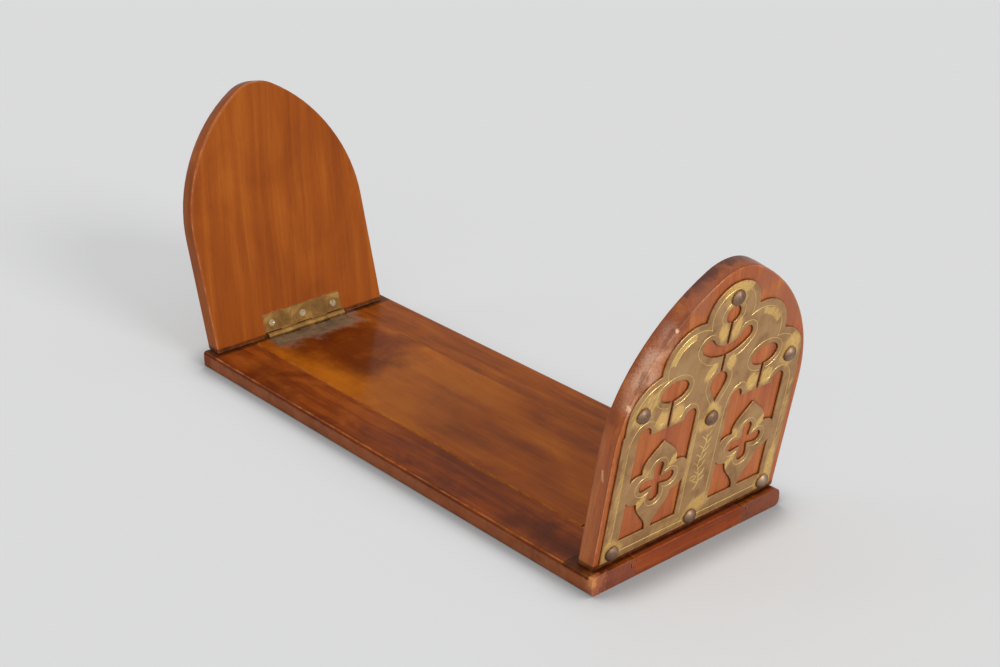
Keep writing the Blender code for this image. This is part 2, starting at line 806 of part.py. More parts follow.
def main():
    clear_scene()
    rail_wood = make_material("rail_walnut", (0.155, 0.048, 0.012), 0.32, 0.0)
    slide_wood = make_material("slide_walnut", (0.27, 0.085, 0.018), 0.28, 0.0)
    end_wood = make_material("end_walnut", (0.25, 0.075, 0.018), 0.30, 0.0)
    mount_brass = make_material("mount_brass", (0.36, 0.24, 0.09), 0.42, 1.0)
    nail_bronze = make_material("nail_bronze", (0.17, 0.11, 0.06), 0.36, 1.0)
    hinge_brass = make_material("hinge_brass", (0.42, 0.27, 0.09), 0.38, 1.0)
    root = add_axis("book_rest", (0, 0, 0), (0, 0, 0), None)
    block = make_base(root, rail_wood)
    make_batten(root, rail_wood, hinge_brass)
    carriage, slide = make_slide(root, slide_wood)
    make_hinged_end("near", root, block, end_wood, hinge_brass, mount_brass, nail_bronze)
    make_hinged_end("far", carriage, slide, end_wood, hinge_brass, mount_brass, nail_bronze)
    centre_on_bounds(root)


main()
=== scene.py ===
"""A book rest of polished walnut, whose two arched ends fold down and carry engraved brass mounts.

Two rails and an end block make the base, and a board slides out between the rails with the far end on it.
The CAD gives every size and place. This script adds the finishes and their wear, with painted light and
shade in places, the mounts' engraving, the real heads of nails and screws, and the studio.
"""

import json
import logging
import math
from dataclasses import dataclass
from enum import Enum
from typing import Any, Iterable, Sequence

import bmesh
import bpy
import numpy as np
from mathutils import Euler, Matrix, Vector
from mathutils.geometry import delaunay_2d_cdt

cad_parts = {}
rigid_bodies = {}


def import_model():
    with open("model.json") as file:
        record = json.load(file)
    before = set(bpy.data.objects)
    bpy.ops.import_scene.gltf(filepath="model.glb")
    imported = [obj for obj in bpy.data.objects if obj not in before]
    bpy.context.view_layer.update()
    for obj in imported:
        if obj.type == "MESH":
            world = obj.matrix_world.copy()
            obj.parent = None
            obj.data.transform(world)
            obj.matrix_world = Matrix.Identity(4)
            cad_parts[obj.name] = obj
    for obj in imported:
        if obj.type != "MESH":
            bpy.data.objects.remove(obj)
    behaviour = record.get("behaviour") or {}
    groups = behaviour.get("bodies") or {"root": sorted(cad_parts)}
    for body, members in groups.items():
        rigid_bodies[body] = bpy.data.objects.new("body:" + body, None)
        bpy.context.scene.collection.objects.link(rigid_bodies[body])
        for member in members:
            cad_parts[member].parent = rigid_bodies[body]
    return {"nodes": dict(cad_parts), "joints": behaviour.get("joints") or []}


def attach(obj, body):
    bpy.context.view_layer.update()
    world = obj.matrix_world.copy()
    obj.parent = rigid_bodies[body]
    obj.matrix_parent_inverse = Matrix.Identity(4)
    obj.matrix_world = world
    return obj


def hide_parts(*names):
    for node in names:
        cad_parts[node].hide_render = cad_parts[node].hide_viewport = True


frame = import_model()

log = logging.getLogger("book_rest")

Colour = tuple[float, float, float, float]
Span = tuple[float, float, float, float]
Place = tuple[float, float, float]
Point = tuple[float, float]

MM = 0.001

# How far each end leans out from upright at rest, in degrees.
NEAR_LEAN = 10.6
FAR_LEAN = 14.8

# Vertices closer than this are one.
WELD = 0.001 * MM
# Faces whose normals agree this well lie in one plane.
PLANE_AGREEMENT = 0.999999
# A plane is shaded flat where its area over its length is more than this.
PLANE_WIDTH = 6.5 * MM
# About how far apart the points of a drawn arc and of a drawn spline lie.
ARC_STEP = 0.8 * MM
SPLINE_STEP = 0.7 * MM
# Points that a search takes at a time, which keeps its arrays small.
BLOCK = 400
# Keeps a division by nought from failing.
TINY = 1e-18
# Points of a flat drawing closer than this are one.
SAME_POINT = 1e-8
# Levels that a noise stays between nearly everywhere.
NOISE_LOW, NOISE_HIGH = 0.3, 0.7


def linear(code: str) -> Colour:
    """Turns an sRGB hex colour to linear light.

    Args:
        code: Six hex digits, with or without a leading hash.

    Returns:
        Red, green, blue and alpha in linear light.
    """
    digits = code.lstrip("#")
    parts = [int(digits[place:place + 2], 16) / 255 for place in (0, 2, 4)]
    light = [part / 12.92 if part <= 0.04045 else ((part + 0.055) / 1.055) ** 2.4 for part in parts]
    return (light[0], light[1], light[2], 1.0)


def add(tree: bpy.types.NodeTree, kind: str, inputs: dict[Any, Any] | None = None, **settings: Any) -> Any:
    """Adds one node with its settings and links.

    Args:
        tree: Node tree that takes the node.
        kind: Node type, without the leading words ShaderNode.
        inputs: Socket name or number to a value, or to the output socket that feeds it.
        settings: Attributes of the node.

    Returns:
        The new node.
    """
    node = tree.nodes.new("ShaderNode" + kind)
    for name, value in settings.items():
        setattr(node, name, value)
    for socket, value in (inputs or {}).items():
        if isinstance(value, bpy.types.NodeSocket):
            tree.links.new(value, node.inputs[socket])
        else:
            node.inputs[socket].default_value = value
    return node


def new_material(name: str) -> tuple[bpy.types.Material, bpy.types.NodeTree, Any]:
    """Starts an empty node material.

    Args:
        name: The material's name.

    Returns:
        The material, its node tree and its Principled shader.
    """
    material = bpy.data.materials.new(name)
    material.use_nodes = True
    tree = material.node_tree
    tree.nodes.clear()
    shader = add(tree, "BsdfPrincipled")
    add(tree, "OutputMaterial", {"Surface": shader.outputs["BSDF"]})
    return material, tree, shader


def set_ramp(node: Any, stops: Sequence[tuple[float, Colour]]) -> None:
    """Sets the stops of a colour ramp.

    Args:
        node: The colour ramp node.
        stops: Place from 0 to 1 and colour of each stop, in order.
    """
    elements = node.color_ramp.elements
    while len(elements) < len(stops):
        elements.new(1.0)
    for element, (place, colour) in zip(elements, stops):
        element.position = place
        element.color = colour


def edge_mask(tree: bpy.types.NodeTree, radius: float, turn: Point, full: float = 1.0) -> Any:
    """Finds the arrises within a radius.

    Args:
        tree: Node tree that takes the nodes.
        radius: How far from the arris.
        turn: Agreement of own and rounded normal at which the mask starts and at which it is full.
        full: How strong it is there.

    Returns:
        The mask's socket.
    """
    rounded = add(tree, "Bevel", {"Radius": radius}, samples=4)
    surface = add(tree, "NewGeometry")
    agreement = add(
        tree, "VectorMath", {0: rounded.outputs[0], 1: surface.outputs["Normal"]}, operation="DOT_PRODUCT",
    )
    mask = add(tree, "MapRange", {0: agreement.outputs["Value"], 1: turn[0], 2: turn[1], 3: 0.0, 4: full})
    return mask.outputs[0]


def up_board(lean: float, twist: float) -> Place:
    """Turns a grain frame up a leaning board.

    Args:
        lean: The board's lean towards +X in degrees.
        twist: The grain's own slant on the board in degrees.

    Returns:
        The turn as Euler angles.
    """
    turn = Matrix.Rotation(math.radians(lean - 90.0), 3, "Y") @ Matrix.Rotation(math.radians(twist), 3, "Z")
    return tuple(turn.to_euler())


class Grain(Enum):
    """The way that a board's grain runs, as the turn of its grain frame about the world's axes.

    An end's grain runs up the board with a slant of a few degrees.
    """

    LENGTHWISE = (0.0, 0.0, 0.0)
    CROSSWISE = (0.0, 0.0, math.pi / 2)
    UP_NEAR_END = up_board(NEAR_LEAN, -3.0)
    UP_FAR_END = up_board(-FAR_LEAN, 8.0)


@dataclass(frozen=True)
class Patch:
    """Ragged patch of another colour, as a box with soft edges in the world at rest.

    Attributes:
        middle: Middle of the box.
        half: Half of its sides.
        colour: Its colour.
        share: How much of its colour it lays over the polish.
        fade: How far it reaches beyond the box at most.
        softness: How softly it ends.
        bite: Size of the bites in its ragged edge.
        roughness: Its own roughness, or None for the polish's.
    """

    middle: Place
    half: Place
    colour: str
    share: float = 0.6
    fade: float = 7 * MM
    softness: float = 1.5 * MM
    bite: float = 7.692 * MM
    roughness: float | None = None


def scattered(middles: Iterable[Place], **marks: Any) -> tuple[Patch, ...]:
    """Lays patches that are alike in several places.

    Args:
        middles: The middle of each patch.
        marks: The other fields of Patch, which they share.

    Returns:
        The patches.
    """
    return tuple(Patch(middle, **marks) for middle in middles)


# Painted shade, nearly black, in the creases where the far and near ends stand on the base.
FAR_CREASE_SHADE, NEAR_CREASE_SHADE = (
    Patch(
        (along, 0.0, 0.0113), (half * MM, 72 * MM, 2.0 * MM), "#160703", share=0.92, fade=0.4 * MM,
        softness=0.6 * MM, bite=5 * MM,
    )
    for along, half in ((-0.161, 7.2), (0.1700, 9.0))
)
# Corner of the front rail's near end, knocked pale.
WORN_CORNER = Patch(
    (0.1822, -0.0696, 0.0088), (0.9 * MM, 1.1 * MM, 2.0 * MM), "#D89458", share=0.6, fade=3 * MM,
    softness=0.8 * MM, bite=1.1111 * MM,
)
# Painted light on the front rail's side, lighter along its whole length.
PAINTED_LIGHT_SIDE = Patch(
    (0.012, -0.0712, 0.0045), (170.5 * MM, 1.3 * MM, 3.4 * MM), "#A0603E", share=0.75, fade=0.8 * MM,
    softness=0.8 * MM, bite=6.667 * MM,
)
# Paler towards the front corner of the rail's near end, where the side's patch dies away round it.
PALE_RAIL_TIP = Patch(
    (0.1830, -0.0680, 0.0050), (0.9 * MM, 2 * MM, 4.2 * MM), "#AC6A48", share=0.5, fade=8 * MM,
    softness=1.5 * MM, bite=3.3333 * MM,
)
# End grain of both rails at the near end, redder than their sides.
RED_ENDS = Patch(
    (0.1830, 0.0, 0.0050), (0.9 * MM, 72 * MM, 6 * MM), "#845046", share=0.55, fade=0.8 * MM,
    softness=0.5 * MM, bite=2.5 * MM,
)
# Polish that stays dark down the back of the near end's front edge.
DARK_BACK = scattered(
    ((0.1868, -0.0590, 0.1050), (0.1893, -0.0500, 0.1220), (0.1925, -0.0380, 0.1400)),
    half=(1.6 * MM, 5 * MM, 8 * MM), colour="#662A10", share=0.45, fade=1.5 * MM, softness=2 * MM,
    bite=11.111 * MM,
)
# Darker polish over the near end's crest.
DARK_CREST = scattered(
    (
        (0.1968, 0.0120, 0.1640), (0.1966, 0.0020, 0.1660), (0.1962, -0.0080, 0.1640),
        (0.1950, -0.0150, 0.1610), (0.1932, -0.0215, 0.1570),
    ),
    half=(2.6 * MM, 4 * MM, 3 * MM), colour="#502618", share=0.8, fade=4.0 * MM, softness=2 * MM,
    bite=6.25 * MM,
)
# Lengths of the near end's outer arris where the polish isn't rubbed through.
DARK_ARRIS = scattered(
    ((0.2022, -0.0340, 0.1454), (0.2003, -0.0412, 0.1382), (0.1968, -0.0552, 0.1182)),
    half=(1.0 * MM, 3 * MM, 4 * MM), colour="#6E3418", share=0.6, fade=1.6 * MM, softness=1 * MM,
    bite=3.3333 * MM,
)
# Browner shoulders of the near end beside its mount.
DARK_SHOULDERS = scattered(
    (
        (0.2041, -0.0219, 0.1537), (0.2041, 0.0238, 0.1536), (0.2017, 0.0389, 0.1407),
        (0.1988, 0.0514, 0.1253),
    ),
    half=(1.5 * MM, 4 * MM, 4 * MM), colour="#8C5038", share=0.5, fade=7 * MM, softness=2.5 * MM,
    bite=8.3333 * MM,
)
# A whitish painted highlight, stippled like bloom in worn polish, on the near end's front edge.
PAINTED_HIGHLIGHT_BLOOM = tuple(
    Patch(
        middle, (1.2 * MM, 3.5 * MM, 6 * MM), "#E6C8B0", share=share, fade=3.5 * MM, softness=3 * MM,
        bite=0.9091 * MM,
    )
    for middle, share in (
        ((0.1930, -0.0575, 0.1120), 0.25), ((0.1958, -0.0510, 0.1240), 0.45),
        ((0.1990, -0.0425, 0.1370), 0.25),
    )
)
# Three chips of bare wood in the near end's outer arris.
CHIPS = (
    Patch(
        (0.2018, -0.0374, 0.1417), (0.4 * MM, 0.5 * MM, 0.5 * MM), "#F0C69A", share=0.75, fade=0.9 * MM,
        softness=0.4 * MM, bite=1.4286 * MM,
    ),
    Patch(
        (0.1940, -0.0608, 0.1061), (0.5 * MM, 0.5 * MM, 0.9 * MM), "#F0C69A", share=0.75, fade=0.9 * MM,
        softness=0.4 * MM, bite=1.4286 * MM,
    ),
    Patch(
        (0.1829, -0.0653, 0.0676), (0.2 * MM, 0.8 * MM, 2.6 * MM), "#F0C69A", share=0.5, fade=0.8 * MM,
        softness=0.5 * MM, bite=1.6667 * MM,
    ),
)


@dataclass(frozen=True)
class PolishedWalnut:
    """French polished walnut: planed, stained, filled and rubbed, so it is smooth with a deep thin gloss.

    The grain shows as long streaks with fine fibres and dark pores. The arrises are paler, worn and partly
    a painted highlight, with a line of painted shade beside them, or of painted light where the rim colour
    is paler, and shade is painted into the corners.
    """

    name: str
    grain: Grain
    dark: str
    middle: str
    light: str
    pore: str
    worn: str
    # Start of the board's own figure in the endless one.
    shift: Place = (0.0, 0.0, 0.0)
    # Contrast of the figure, and half of its levels from dark to light at a contrast of one.
    contrast: float = 1.0
    half_levels: float = 0.17
    # Long streaks, how far they wander from a straight line, and over what length.
    streak_width: float = 8 * MM
    streak_length: float = 170 * MM
    wander: float = 7 * MM
    wander_size: float = 90 * MM
    # Broad clouds over the streaks.
    cloud_size: float = 46 * MM
    cloud_stretch: float = 1.8
    cloud_share: float = 0.25
    cloud_roughness: float = 0.55
    # Fine fibres between the streaks.
    fibre_width: float = 1.3 * MM
    fibre_length: float = 55 * MM
    fibre_share: float = 0.2
    # Open pores. Real ones are about 0.2 mm wide, too fine to show, so they are drawn coarser.
    pore_width: float = 0.55 * MM
    pore_length: float = 8 * MM
    pore_strength: float = 0.4
    pore_levels: Point = (0.58, 0.70)
    pore_depth: float = 0.08 * MM
    pore_relief: float = 0.25
    # End grain, on faces that the grain meets this squarely. Its cut pores are drawn coarser too.
    end_grain_share: float = 0.45
    end_grain_turn: Point = (0.5, 0.9)
    cut_pore_size: float = 0.9091 * MM
    # Pale arrises in broken lengths: worn polish, and partly a painted highlight.
    wear_and_sheen_share: float = 0.6
    wear_radius: float = 0.8 * MM
    wear_turn: Point = (0.995, 0.90)
    wear_size: float = 7.143 * MM
    wear_levels: Point = (0.42, 0.66)
    least_wear: float = 0.15
    # Rounded edge, by how much of its normal points out of the board: a rim of painted shade, or of painted
    # light where the rim colour is paler, and a pale crest, worn and partly a painted highlight.
    rim: str = "#3A1408"
    rim_shading_share: float = 0.45
    rim_shading_turn: Span = (0.08, 0.13, 0.32, 0.45)
    crest_wear_and_sheen_share: float = 0.6
    crest_wear_and_sheen_turn: Span = (0.60, 0.66, 0.90, 0.94)
    # Painted shade in the corners, from the open sky at which it starts to that at which it is full.
    corner_shade_share: float = 0.8
    corner_shade_reach: float = 5 * MM
    corner_shade_start: float = 0.72
    corner_shade_full: float = 0.3
    corner_shade_patch_size: float = 4.545 * MM
    corner_shade_unevenness: float = 0.12
    # Gloss of the polish, a little duller in the clouds.
    roughness: float = 0.42
    roughness_spread: Point = (-0.06, 0.08)
    specular: float = 0.35
    coat: float = 0.2
    coat_roughness: float = 0.18
    # Ripple of the planed surface under the polish.
    unevenness: float = 0.12
    ripple_size: float = 6.25 * MM
    ripple_depth: float = 0.35 * MM
    patches: tuple[Patch, ...] = ()

    def build(self) -> bpy.types.Material:
        """Makes the material.

        Returns:
            The finished material.
        """
        material, tree, shader = new_material(self.name)
        place = add(tree, "TexCoord")
        local = add(
            tree, "Mapping", {"Vector": place.outputs["Object"], "Rotation": self.grain.value},
            vector_type="TEXTURE",
        )
        moved = add(tree, "VectorMath", {0: local.outputs[0], 1: self.shift}, operation="ADD").outputs[0]
        figure, cloud = self.figure(tree, moved)
        half = self.half_levels / self.contrast
        tone = add(tree, "ValToRGB", {"Fac": figure})
        set_ramp(
            tone,
            ((0.5 - half, linear(self.dark)), (0.5, linear(self.middle)), (0.5 + half, linear(self.light))),
        )
        pores = add(
            tree, "TexNoise",
            {"Vector": self.stretched(tree, moved, self.pore_length, self.pore_width),
             "Scale": 1.0, "Detail": 2.0, "Roughness": 0.5},
        )
        low, high = self.pore_levels
        pore = add(tree, "MapRange", {0: pores.outputs[0], 1: low, 2: high, 3: 0.0, 4: self.pore_strength})
        colour = add(
            tree, "Mix",
            {"Factor": pore.outputs[0], 6: tone.outputs[0], 7: linear(self.pore)}, data_type="RGBA",
        ).outputs[2]
        facing = self.facing(tree)
        colour = self.end_grain(tree, facing, local, colour)
        # Painted shade in the corners and creases.
        colour = self.paint_corner_shade(tree, moved, colour)
        # Arrises worn and partly a painted highlight, with painted shade or light on their rims.
        colour = self.arris_wear_sheen_and_shade(tree, facing, moved, colour)
        smoother, duller = (self.roughness + part for part in self.roughness_spread)
        rough = add(
            tree, "MapRange", {0: cloud, 1: NOISE_LOW, 2: NOISE_HIGH, 3: smoother, 4: duller},
        ).outputs[0]
        for patch in self.patches:
            colour, rough = self.patched(tree, place, patch, colour, rough)
        sunk = add(
            tree, "Bump",
            {"Strength": self.pore_relief, "Distance": self.pore_depth, "Height": pore.outputs[0]},
            invert=True,
        )
        ripple = add(tree, "TexNoise", {"Vector": moved, "Scale": 1 / self.ripple_size, "Detail": 3.0})
        uneven = add(
            tree, "Bump",
            {"Strength": self.unevenness, "Distance": self.ripple_depth, "Height": ripple.outputs[0],
             "Normal": sunk.outputs[0]},
        )
        tree.links.new(colour, shader.inputs["Base Color"])
        tree.links.new(rough, shader.inputs["Roughness"])
        tree.links.new(uneven.outputs[0], shader.inputs["Normal"])
        shader.inputs["Specular IOR Level"].default_value = self.specular
        shader.inputs["Coat Weight"].default_value = self.coat
        shader.inputs["Coat Roughness"].default_value = self.coat_roughness
        return material

    def facing(self, tree: bpy.types.NodeTree) -> Any:
        """Splits the face's own normal into its parts in the grain frame.

        Args:
            tree: Node tree that takes the nodes.

        Returns:
            The node with the parts along the grain, across it, and out of the board.
        """
        surface = add(tree, "NewGeometry")
        own_normal = add(
            tree, "VectorTransform", {0: surface.outputs["True Normal"]}, vector_type="NORMAL",
            convert_from="WORLD", convert_to="OBJECT",
        )
        turned_normal = add(
            tree, "Mapping", {"Vector": own_normal.outputs[0], "Rotation": self.grain.value},
            vector_type="TEXTURE",
        )
        return add(tree, "SeparateXYZ", {0: turned_normal.outputs[0]})

    def figure(self, tree: bpy.types.NodeTree, source: Any) -> tuple[Any, Any]:
        """Draws the wood's figure: wandering streaks, broad clouds and fine fibres.

        Args:
            tree: Node tree that takes the nodes.
            source: Socket with the grain coordinates in metres.

        Returns:
            The figure's socket and the clouds' socket, both around one half.
        """
        bend = add(
            tree, "TexNoise",
            {"Vector": self.stretched(tree, source, 2 * self.wander_size, self.wander_size),
             "Scale": 1.0, "Detail": 2.0},
        )
        centred = add(
            tree, "VectorMath", {0: bend.outputs["Color"], 1: (0.5, 0.5, 0.5)}, operation="SUBTRACT",
        )
        offset = add(
            tree, "VectorMath", {0: centred.outputs[0], 1: (0.0, 2 * self.wander, 2 * self.wander)},
            operation="MULTIPLY",
        )
        bent = add(tree, "VectorMath", {0: source, 1: offset.outputs[0]}, operation="ADD").outputs[0]
        streak = add(
            tree, "TexNoise",
            {"Vector": self.stretched(tree, bent, self.streak_length, self.streak_width),
             "Scale": 1.0, "Detail": 5.0, "Roughness": 0.6, "Distortion": 0.4},
        )
        fibre = add(
            tree, "TexNoise",
            {"Vector": self.stretched(tree, bent, self.fibre_length, self.fibre_width),
             "Scale": 1.0, "Detail": 3.0, "Roughness": 0.6},
        )
        cloud = add(
            tree, "TexNoise",
            {"Vector": self.stretched(tree, source, self.cloud_stretch * self.cloud_size, self.cloud_size),
             "Scale": 1.0, "Detail": 4.0, "Roughness": self.cloud_roughness, "Distortion": 1.3},
        )
        broad = add(tree, "Mix", {"Factor": self.cloud_share, 2: streak.outputs[0], 3: cloud.outputs[0]})
        whole = add(tree, "Mix", {"Factor": self.fibre_share, 2: broad.outputs[0], 3: fibre.outputs[0]})
        return whole.outputs[0], cloud.outputs[0]

    @staticmethod
    def stretched(tree: bpy.types.NodeTree, source: Any, along: float, across: float) -> Any:
        """Scales grain coordinates so that one unit of noise is one feature.

        Args:
            tree: Node tree that takes the node.
            source: Socket with the grain coordinates in metres.
            along: Length of a feature along the grain.
            across: Width of a feature across the grain.

        Returns:
            The scaled coordinates' socket.
        """
        scale = (1 / along, 1 / across, 1 / across)
        return add(tree, "VectorMath", {0: source, 1: scale}, operation="MULTIPLY").outputs[0]

    def end_grain(self, tree: bpy.types.NodeTree, facing: Any, local: Any, base: Any) -> Any:
        """Darkens the faces that the grain runs out of.

        Args:
            tree: Node tree that takes the nodes.
            facing: Node with the normal's parts in the grain frame.
            local: Grain frame's mapping node.
            base: Socket with the colour so far.

        Returns:
            The new colour's socket.
        """
        out = add(tree, "Math", {0: facing.outputs[0]}, operation="ABSOLUTE")
        start, full = self.end_grain_turn
        mask = add(
            tree, "MapRange", {0: out.outputs[0], 1: start, 2: full, 3: 0.0, 4: self.end_grain_share},
        )
        dots = add(
            tree, "TexNoise", {"Vector": local.outputs[0], "Scale": 1 / self.cut_pore_size, "Detail": 2.0},
        )
        end = add(tree, "ValToRGB", {"Fac": dots.outputs[0]})
        set_ramp(end, ((0.35, linear(self.pore)), (0.75, linear(self.dark))))
        mixed = add(
            tree, "Mix", {"Factor": mask.outputs[0], 6: base, 7: end.outputs[0]}, data_type="RGBA",
        )
        return mixed.outputs[2]

    def paint_corner_shade(self, tree: bpy.types.NodeTree, source: Any, base: Any) -> Any:
        """Paints shade into the corners and creases, patchily, by how little open sky they see.

        Args:
            tree: Node tree that takes the nodes.
            source: Socket with the grain coordinates in metres.
            base: Socket with the colour so far.

        Returns:
            The new colour's socket.
        """
        # Painted shade: the less open sky ambient occlusion finds, the darker the colour.
        open_sky = add(tree, "AmbientOcclusion", {"Distance": self.corner_shade_reach}, samples=6)
        patchy = add(tree, "TexNoise", {"Vector": source, "Scale": 1 / self.corner_shade_patch_size, "Detail": 3.0})
        unevenly = add(
            tree, "MapRange",
            {0: patchy.outputs[0], 1: NOISE_LOW, 2: NOISE_HIGH, 3: -self.corner_shade_unevenness,
             4: self.corner_shade_unevenness},
        )
        level = add(tree, "Math", {0: open_sky.outputs["AO"], 1: unevenly.outputs[0]}, operation="ADD")
        corner_shade = add(
            tree, "MapRange",
            {0: level.outputs[0], 1: self.corner_shade_start, 2: self.corner_shade_full, 3: 0.0, 4: self.corner_shade_share},
        )
        mixed = add(
            tree, "Mix", {"Factor": corner_shade.outputs[0], 6: base, 7: linear(self.pore)}, data_type="RGBA",
        )
        return mixed.outputs[2]

    @staticmethod
    def between(tree: bpy.types.NodeTree, value: Any, places: Span) -> Any:
        """Finds where a value lies in a span with soft ends.

        Args:
            tree: Node tree that takes the nodes.
            value: The value's socket.
            places: Where the span starts, is full, starts to end, and has ended.

        Returns:
            The mask's socket.
        """
        rise = add(tree, "MapRange", {0: value, 1: places[0], 2: places[1], 3: 0.0, 4: 1.0})
        fall = add(tree, "MapRange", {0: value, 1: places[3], 2: places[2], 3: 0.0, 4: 1.0})
        return add(tree, "Math", {0: rise.outputs[0], 1: fall.outputs[0]}, operation="MULTIPLY").outputs[0]

    def arris_wear_sheen_and_shade(self, tree: bpy.types.NodeTree, facing: Any, source: Any, base: Any) -> Any:
        """Rubs the polish paler along the arrises in broken lengths, partly as a painted highlight, and
        paints shade in a line beside them, or light where the rim colour is paler.

        Args:
            tree: Node tree that takes the nodes.
            facing: Node with the normal's parts in the grain frame.
            source: Socket with the grain coordinates in metres.
            base: Socket with the colour so far.

        Returns:
            The new colour's socket.
        """
        out = add(tree, "Math", {0: facing.outputs[2]}, operation="ABSOLUTE").outputs[0]
        # Painted shade on the rims of rounded edges, or painted light where the rim colour is paler than
        # the wood.
        beside = self.between(tree, out, self.rim_shading_turn)
        rim = add(tree, "Math", {0: beside, 1: self.rim_shading_share}, operation="MULTIPLY")
        rim_shaded = add(
            tree, "Mix", {"Factor": rim.outputs[0], 6: base, 7: linear(self.rim)}, data_type="RGBA",
        )
        # Pale crest and worn arrises: wear in the polish, and partly a painted highlight.
        crest = self.between(tree, out, self.crest_wear_and_sheen_turn)
        line = add(tree, "Math", {0: crest, 1: self.crest_wear_and_sheen_share}, operation="MULTIPLY")
        edge = add(
            tree, "Math", {0: edge_mask(tree, self.wear_radius, self.wear_turn), 1: line.outputs[0]},
            operation="MAXIMUM",
        ).outputs[0]
        patchy = add(
            tree, "TexNoise",
            {"Vector": source, "Scale": 1 / self.wear_size, "Detail": 4.0, "Roughness": 0.7},
        )
        low, high = self.wear_levels
        broken = add(tree, "MapRange", {0: patchy.outputs[0], 1: low, 2: high, 3: self.least_wear, 4: 1.0})
        wear = add(tree, "Math", {0: edge, 1: broken.outputs[0]}, operation="MULTIPLY")
        share = add(tree, "Math", {0: wear.outputs[0], 1: self.wear_and_sheen_share}, operation="MULTIPLY")
        mixed = add(
            tree, "Mix", {"Factor": share.outputs[0], 6: rim_shaded.outputs[2], 7: linear(self.worn)},
            data_type="RGBA",
        )
        return mixed.outputs[2]

    @staticmethod
    def patched(
        tree: bpy.types.NodeTree, place: Any, patch: Patch, base: Any, rough: Any,
    ) -> tuple[Any, Any]:
        """Lays a patch over the polish.

        Args:
            tree: Node tree that takes the nodes.
            place: Texture coordinate node.
            patch: The patch.
            base: Socket with the colour so far.
            rough: Socket with the roughness so far.

        Returns:
            The new sockets of colour and roughness.
        """
        away = add(
            tree, "VectorMath", {0: place.outputs["Object"], 1: patch.middle}, operation="SUBTRACT",
        )
        out = add(tree, "VectorMath", {0: away.outputs[0]}, operation="ABSOLUTE")
        beyond = add(tree, "VectorMath", {0: out.outputs[0], 1: patch.half}, operation="SUBTRACT")
        clipped = add(tree, "VectorMath", {0: beyond.outputs[0], 1: (0.0, 0.0, 0.0)}, operation="MAXIMUM")
        reach = add(tree, "VectorMath", {0: clipped.outputs[0]}, operation="LENGTH")
        ragged = add(
            tree, "TexNoise",
            {"Vector": place.outputs["Object"], "Scale": 1 / patch.bite, "Detail": 5.0, "Roughness": 0.65},
        )
        edge = add(tree, "MapRange", {0: ragged.outputs[0], 1: 0.35, 2: 0.65, 3: 0.0, 4: patch.fade})
        inner = add(tree, "Math", {0: edge.outputs[0], 1: reach.outputs["Value"]}, operation="SUBTRACT")
        share = add(
            tree, "MapRange",
            {0: inner.outputs[0], 1: -patch.softness, 2: patch.softness, 3: 0.0, 4: patch.share},
        ).outputs[0]
        mixed = add(
            tree, "Mix", {"Factor": share, 6: base, 7: linear(patch.colour)}, data_type="RGBA",
        )
        if patch.roughness is None:
            return mixed.outputs[2], rough
        dulled = add(tree, "Mix", {"Factor": share, 2: rough, 3: patch.roughness})
        return mixed.outputs[2], dulled.outputs[0]


@dataclass(frozen=True)
class AgedBrass:
    """Rolled brass, lacquered and darkened: brown in the hollows, golden where it is rubbed."""

    name: str
    patina: str
    bright: str
    deep: str
    roughness: float = 0.38
    roughness_spread: Point = (-0.08, 0.12)
    metallic: float = 0.9
    blotch_size: float = 11 * MM
    # Rubbing marks. The real scratches are hair fine, so they are drawn coarser.
    scratch_width: float = 0.5 * MM
    scratch_length: float = 14 * MM
    scratch_depth: float = 0.05 * MM
    scratch_relief: float = 0.15
    # Edges rubbed bright.
    edge_share: float = 0.7
    edge_radius: float = 0.4 * MM
    edge_turn: Point = (0.99, 0.85)

    def build(self) -> bpy.types.Material:
        """Makes the material.

        Returns:
            The finished material.
        """
        material, tree, shader = new_material(self.name)
        place = add(tree, "TexCoord")
        blotch = add(
            tree, "TexNoise",
            {"Vector": place.outputs["Object"], "Scale": 1 / self.blotch_size, "Detail": 6.0,
             "Roughness": 0.65, "Distortion": 0.6},
        )
        tone = add(tree, "ValToRGB", {"Fac": blotch.outputs[0]})
        set_ramp(
            tone, ((0.30, linear(self.deep)), (0.50, linear(self.patina)), (0.78, linear(self.bright))),
        )
        edge = edge_mask(tree, self.edge_radius, self.edge_turn, self.edge_share)
        coloured = add(
            tree, "Mix", {"Factor": edge, 6: tone.outputs[0], 7: linear(self.bright)}, data_type="RGBA",
        )
        scale = (1 / self.scratch_width, 1 / self.scratch_length, 1 / self.scratch_width)
        run = add(tree, "VectorMath", {0: place.outputs["Object"], 1: scale}, operation="MULTIPLY")
        scratch = add(tree, "TexNoise", {"Vector": run.outputs[0], "Scale": 1.0, "Detail": 2.0})
        smoother, duller = (self.roughness + part for part in self.roughness_spread)
        rough = add(
            tree, "MapRange", {0: scratch.outputs[0], 1: NOISE_LOW, 2: NOISE_HIGH, 3: smoother, 4: duller},
        )
        bump = add(
            tree, "Bump",
            {"Strength": self.scratch_relief, "Distance": self.scratch_depth, "Height": scratch.outputs[0]},
        )
        tree.links.new(coloured.outputs[2], shader.inputs["Base Color"])
        tree.links.new(rough.outputs[0], shader.inputs["Roughness"])
        tree.links.new(bump.outputs[0], shader.inputs["Normal"])
        shader.inputs["Metallic"].default_value = self.metallic
        return material


def local_box(node: bpy.types.Object, placement: Matrix) -> tuple[Vector, Vector]:
    """Measures a node in another frame.

    Args:
        node: The node's object.
        placement: The frame's place in the world.

    Returns:
        The lowest and highest corners in that frame.
    """
    inverse = placement.inverted()
    places = [inverse @ vertex.co for vertex in node.data.vertices]
    low = Vector([min(place[axis] for place in places) for axis in range(3)])
    high = Vector([max(place[axis] for place in places) for axis in range(3)])
    return low, high


